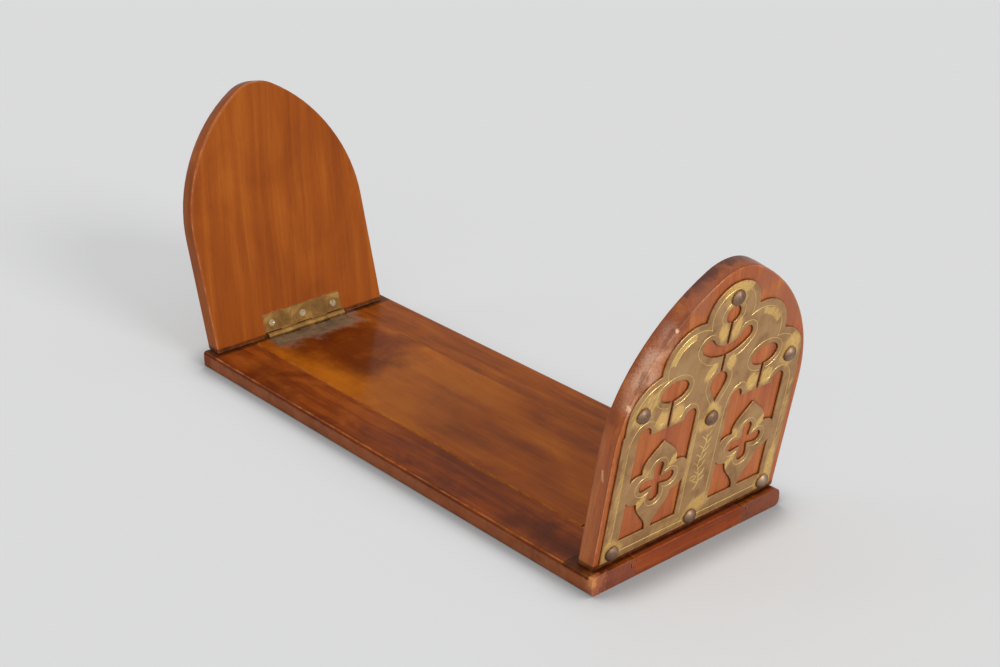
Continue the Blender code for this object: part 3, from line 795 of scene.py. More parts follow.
def shade(bm: bmesh.types.BMesh, smooth_angle: float) -> None:
    """Shades curved faces smooth, and keeps broad planes flat.

    Args:
        bm: The mesh.
        smooth_angle: Edges that turn by this many degrees or more are sharp.
    """
    bm.normal_update()
    for edge in bm.edges:
        edge.smooth = len(edge.link_faces) == 2 and edge.calc_face_angle() < math.radians(smooth_angle)
    seen = set()
    for face in bm.faces:
        if face in seen:
            continue
        seen.add(face)
        plane, waiting = [face], [face]
        while waiting:
            for edge in waiting.pop().edges:
                for other in edge.link_faces:
                    if other not in seen and other.normal.dot(face.normal) > PLANE_AGREEMENT:
                        seen.add(other)
                        plane.append(other)
                        waiting.append(other)
        corners = np.array([vert.co for member in plane for vert in member.verts])
        longest = np.linalg.norm(corners.max(0) - corners.min(0))
        broad = sum(member.calc_area() for member in plane) > PLANE_WIDTH * longest
        for member in plane:
            member.smooth = not broad


def new_piece(
    name: str, bm: bmesh.types.BMesh, materials: Sequence[bpy.types.Material], body: str,
    placement: Matrix | None = None, smooth_angle: float = 32.0,
) -> bpy.types.Object:
    """Makes an object from a mesh under construction, and lets it ride on a body.

    Args:
        name: The piece's name.
        bm: Its mesh, which is freed.
        materials: Its materials, in slot order.
        body: The body that it rides on.
        placement: The frame that the mesh was made in, or None for the world.
        smooth_angle: Edges that turn by less than this many degrees are shaded smooth.

    Returns:
        The new object.
    """
    if placement is not None:
        bm.transform(placement)
    shade(bm, smooth_angle)
    mesh = bpy.data.meshes.new(name)
    bm.to_mesh(mesh)
    bm.free()
    for material in materials:
        mesh.materials.append(material)
    piece = bpy.data.objects.new(name, mesh)
    bpy.context.scene.collection.objects.link(piece)
    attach(piece, body)
    return piece


def smooth_copy(node: bpy.types.Object, body: str, material: bpy.types.Material) -> str:
    """Stands a welded copy, shaded smooth round its edges, in for a node.

    Args:
        node: The node's object.
        body: The body that the node belongs to.
        material: The finish.

    Returns:
        The new piece's name.
    """
    bm = bmesh.new()
    bm.from_mesh(node.data)
    bmesh.ops.remove_doubles(bm, verts=bm.verts, dist=WELD)
    for face in bm.faces:
        face.material_index = 0
    piece = new_piece(node.name + "_polished", bm, [material], body)
    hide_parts(node.name)
    return piece.name


def turned(profile: Sequence[Point], steps: int) -> bmesh.types.BMesh:
    """Spins a profile round Z.

    Args:
        profile: Points as radius and height, from the axis to the axis.
        steps: Number of facets round.

    Returns:
        The solid.
    """
    bm = bmesh.new()
    turns = [math.tau * step / steps for step in range(steps)]
    rings = []
    for radius, height in profile:
        if radius > WELD:
            places = [(radius * math.cos(turn), radius * math.sin(turn), height) for turn in turns]
            rings.append([bm.verts.new(place) for place in places])
        else:
            rings.append([bm.verts.new((0.0, 0.0, height))] * steps)
    for upper, lower in zip(rings, rings[1:]):
        for at in range(steps):
            after = (at + 1) % steps
            # A ring on the axis is one point, so two corners fall together there.
            corners = dict.fromkeys((upper[at], lower[at], lower[after], upper[after]))
            bm.faces.new(tuple(corners))
    return bm


@dataclass(frozen=True)
class DomedNail:
    """Round-headed nail, hammered, with a thin rim under its dome."""

    radius: float = 4.3 * MM
    height: float = 2.8 * MM
    rim: float = 0.5 * MM
    foot_bevel: float = 0.15 * MM
    shank: float = 0.8 * MM
    shank_length: float = 4.5 * MM
    rings: int = 9
    steps: int = 40
    smooth_angle: float = 50.0

    def mesh(self) -> bmesh.types.BMesh:
        """Makes the nail with its seat at the origin and its head along +Z.

        Returns:
            The nail's mesh.
        """
        rise = self.height - self.rim
        sphere = (self.radius ** 2 + rise ** 2) / (2 * rise)
        spread = math.asin(self.radius / sphere)
        turns = [spread * step / self.rings for step in range(self.rings + 1)]
        dome = [
            (sphere * math.sin(turn), self.height + sphere * (math.cos(turn) - 1)) for turn in turns
        ]
        under = [
            (self.radius, self.foot_bevel), (self.radius - self.foot_bevel, 0.0), (self.shank, 0.0),
            (self.shank, -self.shank_length), (0.0, -self.shank_length - self.shank),
        ]
        return turned(dome + under, self.steps)


class Way(Enum):
    """The way a screw's head faces, as the turn that takes +Z there."""

    UP = (0.0, 0.0, 0.0)
    DOWN = (math.pi, 0.0, 0.0)
    IN = (0.0, -math.pi / 2, 0.0)


@dataclass(frozen=True)
class SlottedScrew:
    """Countersunk brass screw with one slot, its head flush."""

    radius: float = 2.1 * MM
    cone: float = 1.1 * MM
    shank: float = 0.8 * MM
    slot_width: float = 0.6 * MM
    slot_depth: float = 0.45 * MM
    floor_share: float = 0.72
    edge: float = 0.08 * MM
    half_steps: int = 16

    def mesh(self, length: float, turn: float) -> bmesh.types.BMesh:
        """Makes the screw with its head's face at the origin and its point along -Z.

        Args:
            length: From the head's face to the point.
            turn: Angle of the slot.

        Returns:
            The screw's mesh.
        """
        bm = bmesh.new()
        halves = [self.half_head(bm, side) for side in (1, -1)]
        self.close_slot(bm, halves)
        ring = halves[0][1] + halves[1][1][::-1]
        shank = self.ring_below(bm, ring, self.shank / self.radius, -self.cone)
        tip = self.ring_below(bm, shank, 1.0, -length)
        for upper, lower in ((ring, shank), (shank, tip)):
            for index in range(len(ring)):
                after = (index + 1) % len(ring)
                bm.faces.new((upper[index], upper[after], lower[after], lower[index]))
        bm.faces.new(tip)
        bmesh.ops.recalc_face_normals(bm, faces=bm.faces)
        bm.transform(Matrix.Rotation(turn, 4, "Z"))
        return bm

    def half_head(self, bm: bmesh.types.BMesh, side: int) -> tuple[list[Any], list[Any], list[Any]]:
        """Makes the head on one side of the slot.

        Args:
            bm: The mesh.
            side: 1 or -1.

        Returns:
            The vertices of its face and of its rim, and the two at the ends of the slot's floor.
        """
        half = self.slot_width / 2
        reach = math.asin(half / self.radius)
        span = (math.pi - 2 * reach) / self.half_steps
        places = [
            Vector((math.cos(reach + span * step), side * math.sin(reach + span * step), 0.0)) * self.radius
            for step in range(self.half_steps + 1)
        ]
        face = [bm.verts.new((place.x * (1 - self.edge / self.radius), place.y, 0.0)) for place in places]
        for vert in face[1:-1]:
            vert.co.y *= 1 - self.edge / self.radius
        rim = [bm.verts.new((place.x, place.y, -self.edge)) for place in places]
        floor = [
            bm.verts.new((vert.co.x * self.floor_share, vert.co.y, -self.slot_depth))
            for vert in (face[0], face[-1])
        ]
        bm.faces.new(face)
        for index in range(self.half_steps):
            bm.faces.new((rim[index], rim[index + 1], face[index + 1], face[index]))
        bm.faces.new((face[0], face[-1], floor[1], floor[0]))
        return face, rim, floor

    @staticmethod
    def close_slot(bm: bmesh.types.BMesh, halves: Sequence[tuple[list[Any], list[Any], list[Any]]]) -> None:
        """Closes the slot's floor and its two ends.

        Args:
            bm: The mesh.
            halves: Face, rim and floor of each half of the head.
        """
        (_, rim, floor), (_, far_rim, far_floor) = halves
        bm.faces.new((*floor, *far_floor[::-1]))
        for end in (0, -1):
            bm.faces.new((rim[end], far_rim[end], far_floor[end], floor[end]))
            for half_face, half_rim, half_floor in halves:
                bm.faces.new((half_face[end], half_rim[end], half_floor[end]))

    @staticmethod
    def ring_below(bm: bmesh.types.BMesh, ring: Sequence[Any], share: float, height: float) -> list[Any]:
        """Copies a ring of vertices at another height, drawn in or out.

        Args:
            bm: The mesh.
            ring: The ring.
            share: Its new width as a share of the old.
            height: Its new height.

        Returns:
            The new ring.
        """
        return [bm.verts.new((vert.co.x * share, vert.co.y * share, height)) for vert in ring]

    def stand_in(
        self, node: bpy.types.Object, body: str, way: Way, brass: bpy.types.Material, turn: float,
        placement: Matrix | None = None,
    ) -> str:
        """Stands a screw in for its node.

        Args:
            node: The screw's node.
            body: The body that the node belongs to.
            way: The way that its head faces.
            brass: The finish.
            turn: Angle of its slot.
            placement: The frame that the way is given in, or None for the world.

        Returns:
            The new piece's name.
        """
        frame_place = placement if placement is not None else Matrix.Identity(4)
        low, high = local_box(node, frame_place)
        facing = Euler(way.value).to_matrix() @ Vector((0.0, 0.0, 1.0))
        middle = (low + high) / 2
        seat = middle + facing * abs(facing.dot(high - middle))
        length = abs(facing.dot(high - low))
        bm = self.mesh(length, turn)
        bm.transform(Matrix.Translation(seat) @ Euler(way.value).to_matrix().to_4x4())
        piece = new_piece(node.name + "_slotted", bm, [brass], body, placement)
        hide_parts(node.name)
        return piece.name


def arc(centre: Point, radius: float | Point, start: float, end: float) -> list[Point]:
    """Samples an arc of a circle or an ellipse.

    Args:
        centre: Its centre.
        radius: One radius, or the radii across and up.
        start: First angle in degrees.
        end: Last angle in degrees.

    Returns:
        Points along it.
    """
    across, up = radius if isinstance(radius, tuple) else (radius, radius)
    steps = max(4, int(abs(math.radians(end - start)) * max(across, up) / ARC_STEP))
    turns = [math.radians(start + (end - start) * step / steps) for step in range(steps + 1)]
    return [(centre[0] + across * math.cos(turn), centre[1] + up * math.sin(turn)) for turn in turns]


def spline(points: Sequence[Point]) -> list[Point]:
    """Runs a smooth curve through points given in millimetres.

    Args:
        points: The points.

    Returns:
        Points along the curve in metres.
    """
    places = np.array(points, float) * MM
    padded = np.vstack([2 * places[0] - places[1], places, 2 * places[-1] - places[-2]])
    run = []
    for index in range(len(places) - 1):
        before, start, end, after = padded[index:index + 4]
        steps = max(2, int(np.linalg.norm(end - start) / SPLINE_STEP))
        for step in range(steps):
            share = step / steps
            run.append(0.5 * (
                2 * start + (end - before) * share
                + (2 * before - 5 * start + 4 * end - after) * share ** 2
                + (3 * start - before - 3 * end + after) * share ** 3
            ))
    run.append(places[-1])
    return [tuple(point) for point in run]


def mirrored(points: Iterable[Point]) -> list[Point]:
    """Mirrors points from right to left."""
    return [(-across, up) for across, up in points]


def segment_distance(points: np.ndarray, runs: Sequence[np.ndarray]) -> np.ndarray:
    """Measures how far points are from the nearest of some polylines.

    Args:
        points: Points, one to a row.
        runs: Polylines, each with one point to a row.

    Returns:
        One distance for each point.
    """
    starts = np.vstack([run[:-1] for run in runs])
    spans = np.vstack([run[1:] - run[:-1] for run in runs])
    squares = np.maximum((spans ** 2).sum(1), TINY)
    nearest = []
    for block in np.array_split(points, max(1, len(points) // BLOCK)):
        offsets = block[:, None, :] - starts[None]
        share = np.clip((offsets * spans[None]).sum(2) / squares, 0.0, 1.0)
        nearest.append(np.sqrt(((offsets - share[..., None] * spans[None]) ** 2).sum(2).min(1)))
    return np.concatenate(nearest)


def inside(points: np.ndarray, loops: Sequence[np.ndarray]) -> np.ndarray:
    """Tells which points lie within an outline and outside its holes.

    Args:
        points: Points, one to a row.
        loops: Closed loops, the outline and its holes, without the first point again.

    Returns:
        True or False for each point.
    """
    starts = np.vstack(loops)
    ends = np.vstack([np.roll(loop, -1, 0) for loop in loops])
    found = []
    for block in np.array_split(points, max(1, len(points) // BLOCK)):
        across, up = block[:, :1], block[:, 1:]
        spans = (starts[:, 1] > up) != (ends[:, 1] > up)
        rise = np.where(ends[:, 1] == starts[:, 1], TINY, ends[:, 1] - starts[:, 1])
        cross = starts[:, 0] + (up - starts[:, 1]) * (ends[:, 0] - starts[:, 0]) / rise
        found.append((spans & (across < cross)).sum(1) % 2 == 1)
    return np.concatenate(found)


@dataclass(frozen=True)
class Oval:
    """Soft-edged oval of the drawing, in millimetres, where the brass is rubbed golden.

    Attributes:
        centre: Its middle.
        half: Half of its width and of its height.
        turn: Its slant in degrees.
        full: How golden it is.
    """

    centre: Point
    half: Point
    turn: float = 0.0
    full: float = 1.0

    def gold(self, across: np.ndarray, up: np.ndarray) -> np.ndarray:
        """Tells how golden it leaves points of the drawing.

        Args:
            across: The points' places across, in millimetres.
            up: Their places up.

        Returns:
            From 0 to the oval's own strength for each point.
        """
        cos, sin = math.cos(math.radians(self.turn)), math.sin(math.radians(self.turn))
        right, high = across - self.centre[0], up - self.centre[1]
        reach = np.hypot(
            (right * cos + high * sin) / self.half[0], (high * cos - right * sin) / self.half[1],
        )
        return self.full * np.clip((1.5 - reach) / 0.8, 0.0, 1.0)


@dataclass(frozen=True)
class Tracery:
    """The mount's drawing: its engraved lines and its gilded, hatched places.

    Places are across and up from the hinge axis, in the drawing before the plate is widened.
    """

    half: float = 61.2 * MM
    apex: float = 150.9 * MM
    inset: float = 3.7 * MM
    window_middle: float = 31.35 * MM
    finial_middle: float = 44.7 * MM
    petal_reach: float = 8.6 * MM
    petal_ring: float = 6.0 * MM
    sill_half: float = 53.0 * MM
    sill_up: float = 8.7 * MM
    fine: float = 0.40 * MM
    broad: float = 0.68 * MM
    # The head's lobes as shares of its half width: centre across, centre down from the apex, radius.
    lobes: tuple[Place, ...] = ((0.0, 0.297, 0.297), (0.355, 0.626, 0.339), (0.637, 0.997, 0.347))
    # The nails' places in millimetres.
    nails: tuple[Point, ...] = (
        (0.0, 142.1), (51.1, 92.15), (-51.1, 92.15), (0.0, 71.65), (54.3, 9.45), (-54.3, 9.45), (0.0, 9.45),
    )
    # Gilded bands inside the middle lobes: side, depth inside the edge, half width and soft edge in
    # millimetres, first and last bearing in degrees, and strength.
    bands: tuple[tuple[float, ...], ...] = (
        (-1, 5.6, 2.2, 0.6, 98.0, 172.0, 1.0), (1, 6.2, 2.6, 0.9, 20.0, 86.0, 0.75),
    )

    def circles(self) -> list[Place]:
        """Gives each lobe's circle on the right side.

        Returns:
            Centre across, centre up and radius of each.
        """
        return [
            (self.half * across, self.apex - self.half * down, self.half * radius)
            for across, down, radius in self.lobes
        ]

    def contour(self) -> list[Point]:
        """Draws the line that follows the right half of the head inside its edge.

        Returns:
            Points along the line.
        """
        first, second, third = [
            (across, up, radius - self.inset) for across, up, radius in self.circles()
        ]
        upper, lower = self.meeting(first, second), self.meeting(second, third)
        run = arc(first[:2], first[2], 90.0, self.bearing(first, upper))
        run += arc(second[:2], second[2], self.bearing(second, upper), self.bearing(second, lower))
        run += arc(third[:2], third[2], self.bearing(third, lower), -8.0)
        return run

    @staticmethod
    def meeting(first: Place, second: Place) -> Point:
        """Gives the outer crossing of two circles.

        Args:
            first: Centre across, centre up and radius of the upper circle.
            second: The same of the lower circle.

        Returns:
            The crossing.
        """
        span = math.dist(first[:2], second[:2])
        along = (span ** 2 + first[2] ** 2 - second[2] ** 2) / (2 * span)
        off = math.sqrt(max(first[2] ** 2 - along ** 2, 0.0))
        way = ((second[0] - first[0]) / span, (second[1] - first[1]) / span)
        return (first[0] + along * way[0] - off * way[1], first[1] + along * way[1] + off * way[0])

    @staticmethod
    def bearing(circle: Place, point: Point) -> float:
        """Gives the angle in degrees of a point from a circle's centre."""
        return math.degrees(math.atan2(point[1] - circle[1], point[0] - circle[0]))

    def centre_lines(self) -> list[list[Point]]:
        """Draws the lines on the right of the centre piercing and round the right window.

        Returns:
            Points along each line.
        """
        eye = arc((0.0, 132.5 * MM), 7.8 * MM, 72.0, -38.0)
        bow = spline([(8.6, 122.3), (10.2, 124.0)]) + arc((13.1 * MM, 117.5 * MM), 7.2 * MM, 112.0, -52.0)
        bow += spline([(16.4, 110.6), (12.6, 107.7), (8.4, 106.0), (4.4, 105.5)])
        drop = spline([
            (3.6, 104.6), (4.6, 101.4), (7.2, 98.6), (8.7, 94.8), (8.6, 90.8), (6.6, 86.2), (3.9, 81.8),
            (2.2, 78.2),
        ])
        strip = spline([(56.5, 13.0), (56.5, 45.0), (56.4, 72.0), (55.0, 80.0), (51.4, 85.0), (46.6, 86.6)])
        strip += spline([(46.0, 86.6), (42.6, 85.6), (40.0, 82.6), (38.4, 81.4), (36.2, 81.6)])
        mullion = spline([(8.8, 15.0), (8.8, 40.0), (8.9, 66.0), (9.8, 77.0), (12.6, 84.0), (17.4, 86.6)])
        mullion += spline([(18.0, 86.6), (21.2, 85.0), (22.8, 82.0), (24.6, 81.2), (26.6, 81.6)])
        ring = arc((self.window_middle, 98.7 * MM), (12.4 * MM, 8.9 * MM), -78.0, 258.0)
        return [eye, bow, drop, strip, mullion, ring]

    def finial_rings(self) -> list[list[Point]]:
        """Draws the scalloped ring round the right quatrefoil.

        Returns:
            Points along each of its four arcs.
        """
        runs = []
        for turn in (0.0, 90.0, 180.0, 270.0):
            centre = (
                self.window_middle + self.petal_reach * math.cos(math.radians(turn)),
                self.finial_middle + self.petal_reach * math.sin(math.radians(turn)),
            )
            runs.append(arc(centre, self.petal_ring, turn - 128.0, turn + 128.0))
        return runs

    def sprig(self) -> list[list[Point]]:
        """Draws the leafy sprig on the mullion.

        Returns:
            Points along its stem, its leaves from top to foot, and its curl.
        """
        stem = spline([
            (-1.6, 27.0), (0.6, 31.0), (-0.4, 37.0), (-2.0, 43.0), (-0.8, 50.0), (0.6, 56.0), (0.0, 61.0),
        ])
        leaves = (
            (0.3, 60.0, 3.2, 62.5), (0.4, 57.5, -3.0, 61.0), (0.4, 55.5, 3.9, 58.4),
            (-0.2, 52.5, -3.6, 55.6), (-0.6, 50.5, 3.2, 54.0), (-1.2, 47.6, -4.6, 50.4),
            (-1.6, 45.4, 2.4, 49.2), (-1.8, 42.5, -5.0, 45.0), (-1.4, 40.2, 2.4, 44.2),
            (-0.6, 37.0, -4.0, 39.6), (-0.2, 35.0, 3.4, 38.6), (0.4, 32.0, 4.4, 33.8),
            (0.4, 31.0, -3.4, 33.0),
        )
        runs = [stem]
        for across, up, end_across, end_up in leaves:
            middle = ((across + end_across) / 2 + 0.5 * (end_up - up) / 3, (up + end_up) / 2 - 0.35)
            runs.append(spline([(across, up), middle, (end_across, end_up)]))
        runs.append(arc((-3.8 * MM, 35.2 * MM), (2.0 * MM, 1.3 * MM), 20.0, 330.0))
        return runs

    def lines(self) -> list[tuple[list[Point], float]]:
        """Gathers every engraved line.

        Returns:
            Points along each line, and its width.
        """
        side_lines = [self.contour(), *self.centre_lines(), *self.finial_rings()]
        runs = [(run, self.fine) for run in side_lines] + [(mirrored(run), self.fine) for run in side_lines]
        runs.append(([(-self.sill_half + step * 2 * MM, self.sill_up) for step in range(54)], self.fine))
        across, up, radius = self.circles()[1]
        for drop, start, end in ((5.4, 28.0, 84.0), (6.8, 34.0, 80.0), (8.2, 42.0, 72.0)):
            runs.append((arc((across, up), radius - drop * MM, start, end), self.fine))
        runs.append((arc((-across, up), radius - 7.4 * MM, 100.0, 172.0), self.fine))
        runs += [(run, self.broad) for run in self.sprig()]
        return runs

    def golden_ovals(self) -> list[Oval]:
        """Gathers the golden places round the nails, beside the piercings and along the edges.

        Returns:
            The ovals.
        """
        window, finial = self.window_middle / MM, self.finial_middle / MM
        ovals = [Oval(nail, (6.6, 6.6), full=0.9) for nail in self.nails]
        for side in (1, -1):
            middle = side * window
            ovals += [
                Oval((middle + 5.4, 84.0), (4.0, 5.0)),
                Oval((middle - 5.4, 84.0), (4.0, 5.0)),
                Oval((side * 4.6, 123.2), (2.9, 5.4), side * -12.0),
                Oval((middle + 10.8, finial + 11.0), (6.2, 2.3), 45.0),
                Oval((middle - 10.6, finial - 10.8), (6.2, 2.3), 45.0),
                Oval((middle - 9.4, finial + 9.0), (3.6, 2.2), -45.0, 0.7),
            ]
        ovals += [
            Oval((6.4, 102.8), (3.0, 4.2)),
            Oval((-7.6, 101.4), (2.6, 5.6), -36.0),
            Oval((-0.6, 76.5), (3.4, 4.6)),
            Oval((-5.6, 69.5), (3.2, 4.6), full=0.8),
            Oval((0.0, 146.5), (9.0, 5.0)),
            Oval((4.0, 15.5), (8.5, 5.2), 12.0, 0.9),
            Oval((-57.0, 10.0), (4.6, 8.5)),
            Oval((57.2, 22.0), (3.0, 11.0), full=0.9),
            Oval((-57.6, 40.0), (1.9, 34.0), full=0.55),
            Oval((58.4, 58.0), (1.6, 22.0), full=0.5),
            Oval((-18.0, 9.5), (13.0, 3.6), full=0.5),
            Oval((52.0, 98.5), (6.0, 6.0), full=0.9),
            Oval((-47.0, 98.0), (7.0, 5.0), 40.0, 0.7),
            Oval((-10.2, 50.0), (1.4, 26.0), full=0.6),
        ]
        return ovals

    def gilding(self, points: np.ndarray) -> np.ndarray:
        """Tells how golden the brass is rubbed at points of the drawing.

        Args:
            points: Points, one to a row.

        Returns:
            From 0, brown, to 1, golden, for each point.
        """
        across, up = points[:, 0] / MM, points[:, 1] / MM
        gold = [oval.gold(across, up) for oval in self.golden_ovals()]
        centre_across, centre_up, radius = (part / MM for part in self.circles()[1])
        for side, depth, half, soft, first, last, full in self.bands:
            right, high = across - side * centre_across, up - centre_up
            out = np.hypot(right, high) - radius
            bearing = np.degrees(np.arctan2(high, right))
            band = np.clip((half - np.abs(out + depth)) / soft, 0.0, 1.0)
            gold.append(full * band * (bearing > first) * (bearing < last))
        return np.maximum.reduce(gold)


@dataclass(frozen=True)
class EngravedMount:
    """Pierced plate with a chamfered edge, cut by fine engraved grooves."""

    node: bpy.types.Object
    placement: Matrix
    width_share: float
    tracery: Tracery = Tracery()
    # How far the drawing lies off the plate's middle.
    shift: float = 1.0 * MM
    # Width of the chamfer round every edge, and depth of the grooves.
    chamfer: float = 0.14 * MM
    depth: float = 0.16 * MM
    # Least gap between an engraved line and the plate's edge.
    clearance: float = 0.12 * MM
    # Fill points of the face: their spacing, the rows' share of it, and their gaps to edges and lines.
    grid: float = 1.25 * MM
    row_share: float = 0.87
    edge_gap: float = 0.5 * MM
    line_gap: float = 0.65 * MM
    # A vertex this near to the front or the back plane lies in it.
    flatness: float = 0.01 * MM
    # A facet sunk by more than this share of the grooves' depth shows cut brass.
    cut_share: float = 0.02
    smooth_angle: float = 20.0

    def drawn(self, points: Sequence[Point]) -> np.ndarray:
        """Places points of the drawing on the plate."""
        places = np.array(points, float)
        return np.column_stack([places[:, 0] * self.width_share + self.shift, places[:, 1]])

    def undrawn(self, places: np.ndarray) -> np.ndarray:
        """Takes places on the plate back to the drawing."""
        return np.column_stack([(places[:, 0] - self.shift) / self.width_share, places[:, 1]])

    def flat_faces(self) -> tuple[np.ndarray, np.ndarray, float, float]:
        """Reads the front and back triangles of the node in the plate's own frame.

        Returns:
            Front and back triangles as arrays of (across, up), and the heights of both planes.
        """
        inverse = self.placement.inverted()
        places = np.array([inverse @ vertex.co for vertex in self.node.data.vertices])
        corners = places[np.array([face.vertices[:] for face in self.node.data.polygons])]
        front, back = places[:, 0].max(), places[:, 0].min()
        on_front = (corners[:, :, 0] > front - self.flatness).all(1)
        on_back = (corners[:, :, 0] < back + self.flatness).all(1)
        return corners[on_front][:, :, 1:], corners[on_back][:, :, 1:], front, back

    @staticmethod
    def border_loops(triangles: np.ndarray) -> list[np.ndarray]:
        """Chains the border edges of a flat set of triangles.

        Args:
            triangles: Triangles of points, wound alike.

        Returns:
            Loops of points with the plate on their left.
        """
        keys, index = np.unique(triangles.reshape(-1, 2).round(6), axis=0, return_inverse=True)
        index = index.reshape(-1, 3)
        edges = {(ring[at], ring[(at + 1) % 3]) for ring in index.tolist() for at in range(3)}
        following = {start: end for start, end in edges if (end, start) not in edges}
        loops = []
        while following:
            start, here = following.popitem()
            loop = [start]
            while here != start:
                loop.append(here)
                here = following.pop(here)
            loops.append(keys[loop])
        return loops

    def pulled_in(self, loop: np.ndarray) -> np.ndarray:
        """Offsets a loop into the plate by the width of the chamfer.

        Args:
            loop: Loop of points with the plate on its left.

        Returns:
            The offset loop, point for point.
        """
        ahead = np.roll(loop, -1, 0) - loop
        ahead /= np.linalg.norm(ahead, axis=1)[:, None]
        normal = np.column_stack([-ahead[:, 1], ahead[:, 0]])
        before = np.roll(normal, 1, 0)
        # Nearly 2 on a straight run, and held to 0.5 where a corner is sharp.
        spread = 1.0 + (normal * before).sum(1)
        return loop + self.chamfer * (normal + before) / np.maximum(spread, 0.5)[:, None]

    def grooves(self, borders: Sequence[np.ndarray]) -> list[tuple[np.ndarray, float]]:
        """Places the engraved lines and breaks them where they would run into an edge.

        Args:
            borders: The loops of the plate's face.

        Returns:
            Polylines with their widths.
        """
        closed = [np.vstack([loop, loop[:1]]) for loop in borders]
        kept = []
        for points, width in self.tracery.lines():
            run = self.drawn(points)
            room = segment_distance(run, closed)
            clear = (room > width / 2 + self.clearance) & inside(run, borders)
            # The first point of each clear stretch, and one past its last.
            starts = np.flatnonzero(np.diff([False, *clear]) & clear)
            ends = np.flatnonzero(np.diff([*clear, False]) & clear) + 1
            kept += [(run[start:end], width) for start, end in zip(starts, ends) if end - start > 2]
        return kept

    def relief(self, points: np.ndarray, grooves: Sequence[tuple[np.ndarray, float]]) -> np.ndarray:
        """Works out how deep the grooves are at points of the plate.

        Args:
            points: Points, one to a row.
            grooves: The engraved lines with their widths.

        Returns:
            The depth at each point.
        """
        deep = np.zeros(len(points))
        for width in sorted({width for _, width in grooves}):
            away = segment_distance(points, [run for run, own in grooves if own == width])
            deep = np.maximum(deep, self.depth * np.clip(1.0 - away / (width / 2), 0.0, 1.0))
        return deep

    def build(self, materials: Sequence[bpy.types.Material], body: str) -> bpy.types.Object:
        """Makes the plate and stands it in for its node.

        Args:
            materials: The face's finish and the cut grooves' finish.
            body: The body that the node belongs to.

        Returns:
            The plate.
        """
        front, back, front_height, back_height = self.flat_faces()
        rims = self.border_loops(front)
        borders = [self.pulled_in(rim) for rim in rims]
        grooves = self.grooves(borders)
        points, edges = self.layout(borders, grooves)
        laid, _, triangles, sources, *_ = delaunay_2d_cdt(
            [Vector(point) for point in points], edges, [], 0, SAME_POINT,
        )
        flat = np.array([vertex[:] for vertex in laid])
        faces = np.array([face[:] for face in triangles])
        faces = faces[inside(flat[faces].mean(1), borders)]
        cut = self.relief(flat[faces].mean(1), grooves) > self.cut_share * self.depth
        heights = front_height - self.relief(flat, grooves)
        found = {old: new for new, olds in enumerate(sources) for old in olds}
        bm = bmesh.new()
        gild = bm.verts.layers.float.new("gilding")
        bright = self.tracery.gilding(self.undrawn(flat))
        verts = {}
        for index in np.unique(faces):
            verts[index] = bm.verts.new((heights[index], *flat[index]))
            verts[index][gild] = bright[index]
        for corners, is_cut in zip(faces, cut):
            face = bm.faces.new([verts[corner] for corner in corners])
            face.material_index = int(is_cut)
        backs = self.add_sides(bm, rims, borders, verts, found, front_height, back_height)
        self.add_back(bm, back, np.vstack(rims), backs)
        bmesh.ops.recalc_face_normals(bm, faces=bm.faces)
        name = self.node.name + "_engraved"
        piece = new_piece(name, bm, materials, body, self.placement, self.smooth_angle)
        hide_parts(self.node.name)
        return piece

    def layout(
        self, borders: Sequence[np.ndarray], grooves: Sequence[tuple[np.ndarray, float]],
    ) -> tuple[np.ndarray, list[tuple[int, int]]]:
        """Lays out the points and edges that the face is divided by.

        Args:
            borders: The loops of the plate's face, which come first.
            grooves: The engraved lines.

        Returns:
            Points, and pairs of their numbers.
        """
        points, edges = [], []
        count = 0
        for loop in borders:
            points.append(loop)
            edges += [(count + index, count + (index + 1) % len(loop)) for index in range(len(loop))]
            count += len(loop)
        for run, width in grooves:
            ahead = np.gradient(run, axis=0)
            ahead /= np.maximum(np.linalg.norm(ahead, axis=1), TINY)[:, None]
            side = np.column_stack([-ahead[:, 1], ahead[:, 0]]) * width / 2
            for line in (run, run + side, run - side):
                points.append(line)
                edges += [(count + index, count + index + 1) for index in range(len(line) - 1)]
                count += len(line)
        whole = np.vstack(borders)
        low, high = whole.min(0), whole.max(0)
        across, up = np.meshgrid(
            np.arange(low[0], high[0], self.grid),
            np.arange(low[1], high[1], self.grid * self.row_share),
        )
        across[1::2] += self.grid / 2
        fill = np.column_stack([across.ravel(), up.ravel()])
        fill = fill[inside(fill, borders)]
        closed = [np.vstack([loop, loop[:1]]) for loop in borders]
        fill = fill[segment_distance(fill, closed) > self.edge_gap]
        fill = fill[segment_distance(fill, [run for run, _ in grooves]) > self.line_gap]
        points.append(fill)
        return np.vstack(points), edges

    def add_sides(
        self, bm: bmesh.types.BMesh, rims: Sequence[np.ndarray], borders: Sequence[np.ndarray],
        verts: dict[int, Any], found: dict[int, int], front_height: float, back_height: float,
    ) -> list[Any]:
        """Adds the chamfer and the wall of every loop.

        Args:
            bm: The mesh.
            rims: The plate's own loops.
            borders: The loops of its face.
            verts: The face's vertices by number.
            found: The face's vertex number for each laid out point.
            front_height: Height of the face.
            back_height: Height of the back.

        Returns:
            The back's vertices in the loops' order.
        """
        backs = []
        count = 0
        for rim, border in zip(rims, borders):
            inner = [verts[found[count + index]] for index in range(len(border))]
            outer = [bm.verts.new((front_height - self.chamfer, *point)) for point in rim]
            below = [bm.verts.new((back_height, *point)) for point in rim]
            for index in range(len(rim)):
                after = (index + 1) % len(rim)
                if inner[index] is not inner[after]:
                    bm.faces.new((inner[index], inner[after], outer[after], outer[index]))
                bm.faces.new((outer[index], outer[after], below[after], below[index]))
            backs += below
            count += len(border)
        return backs

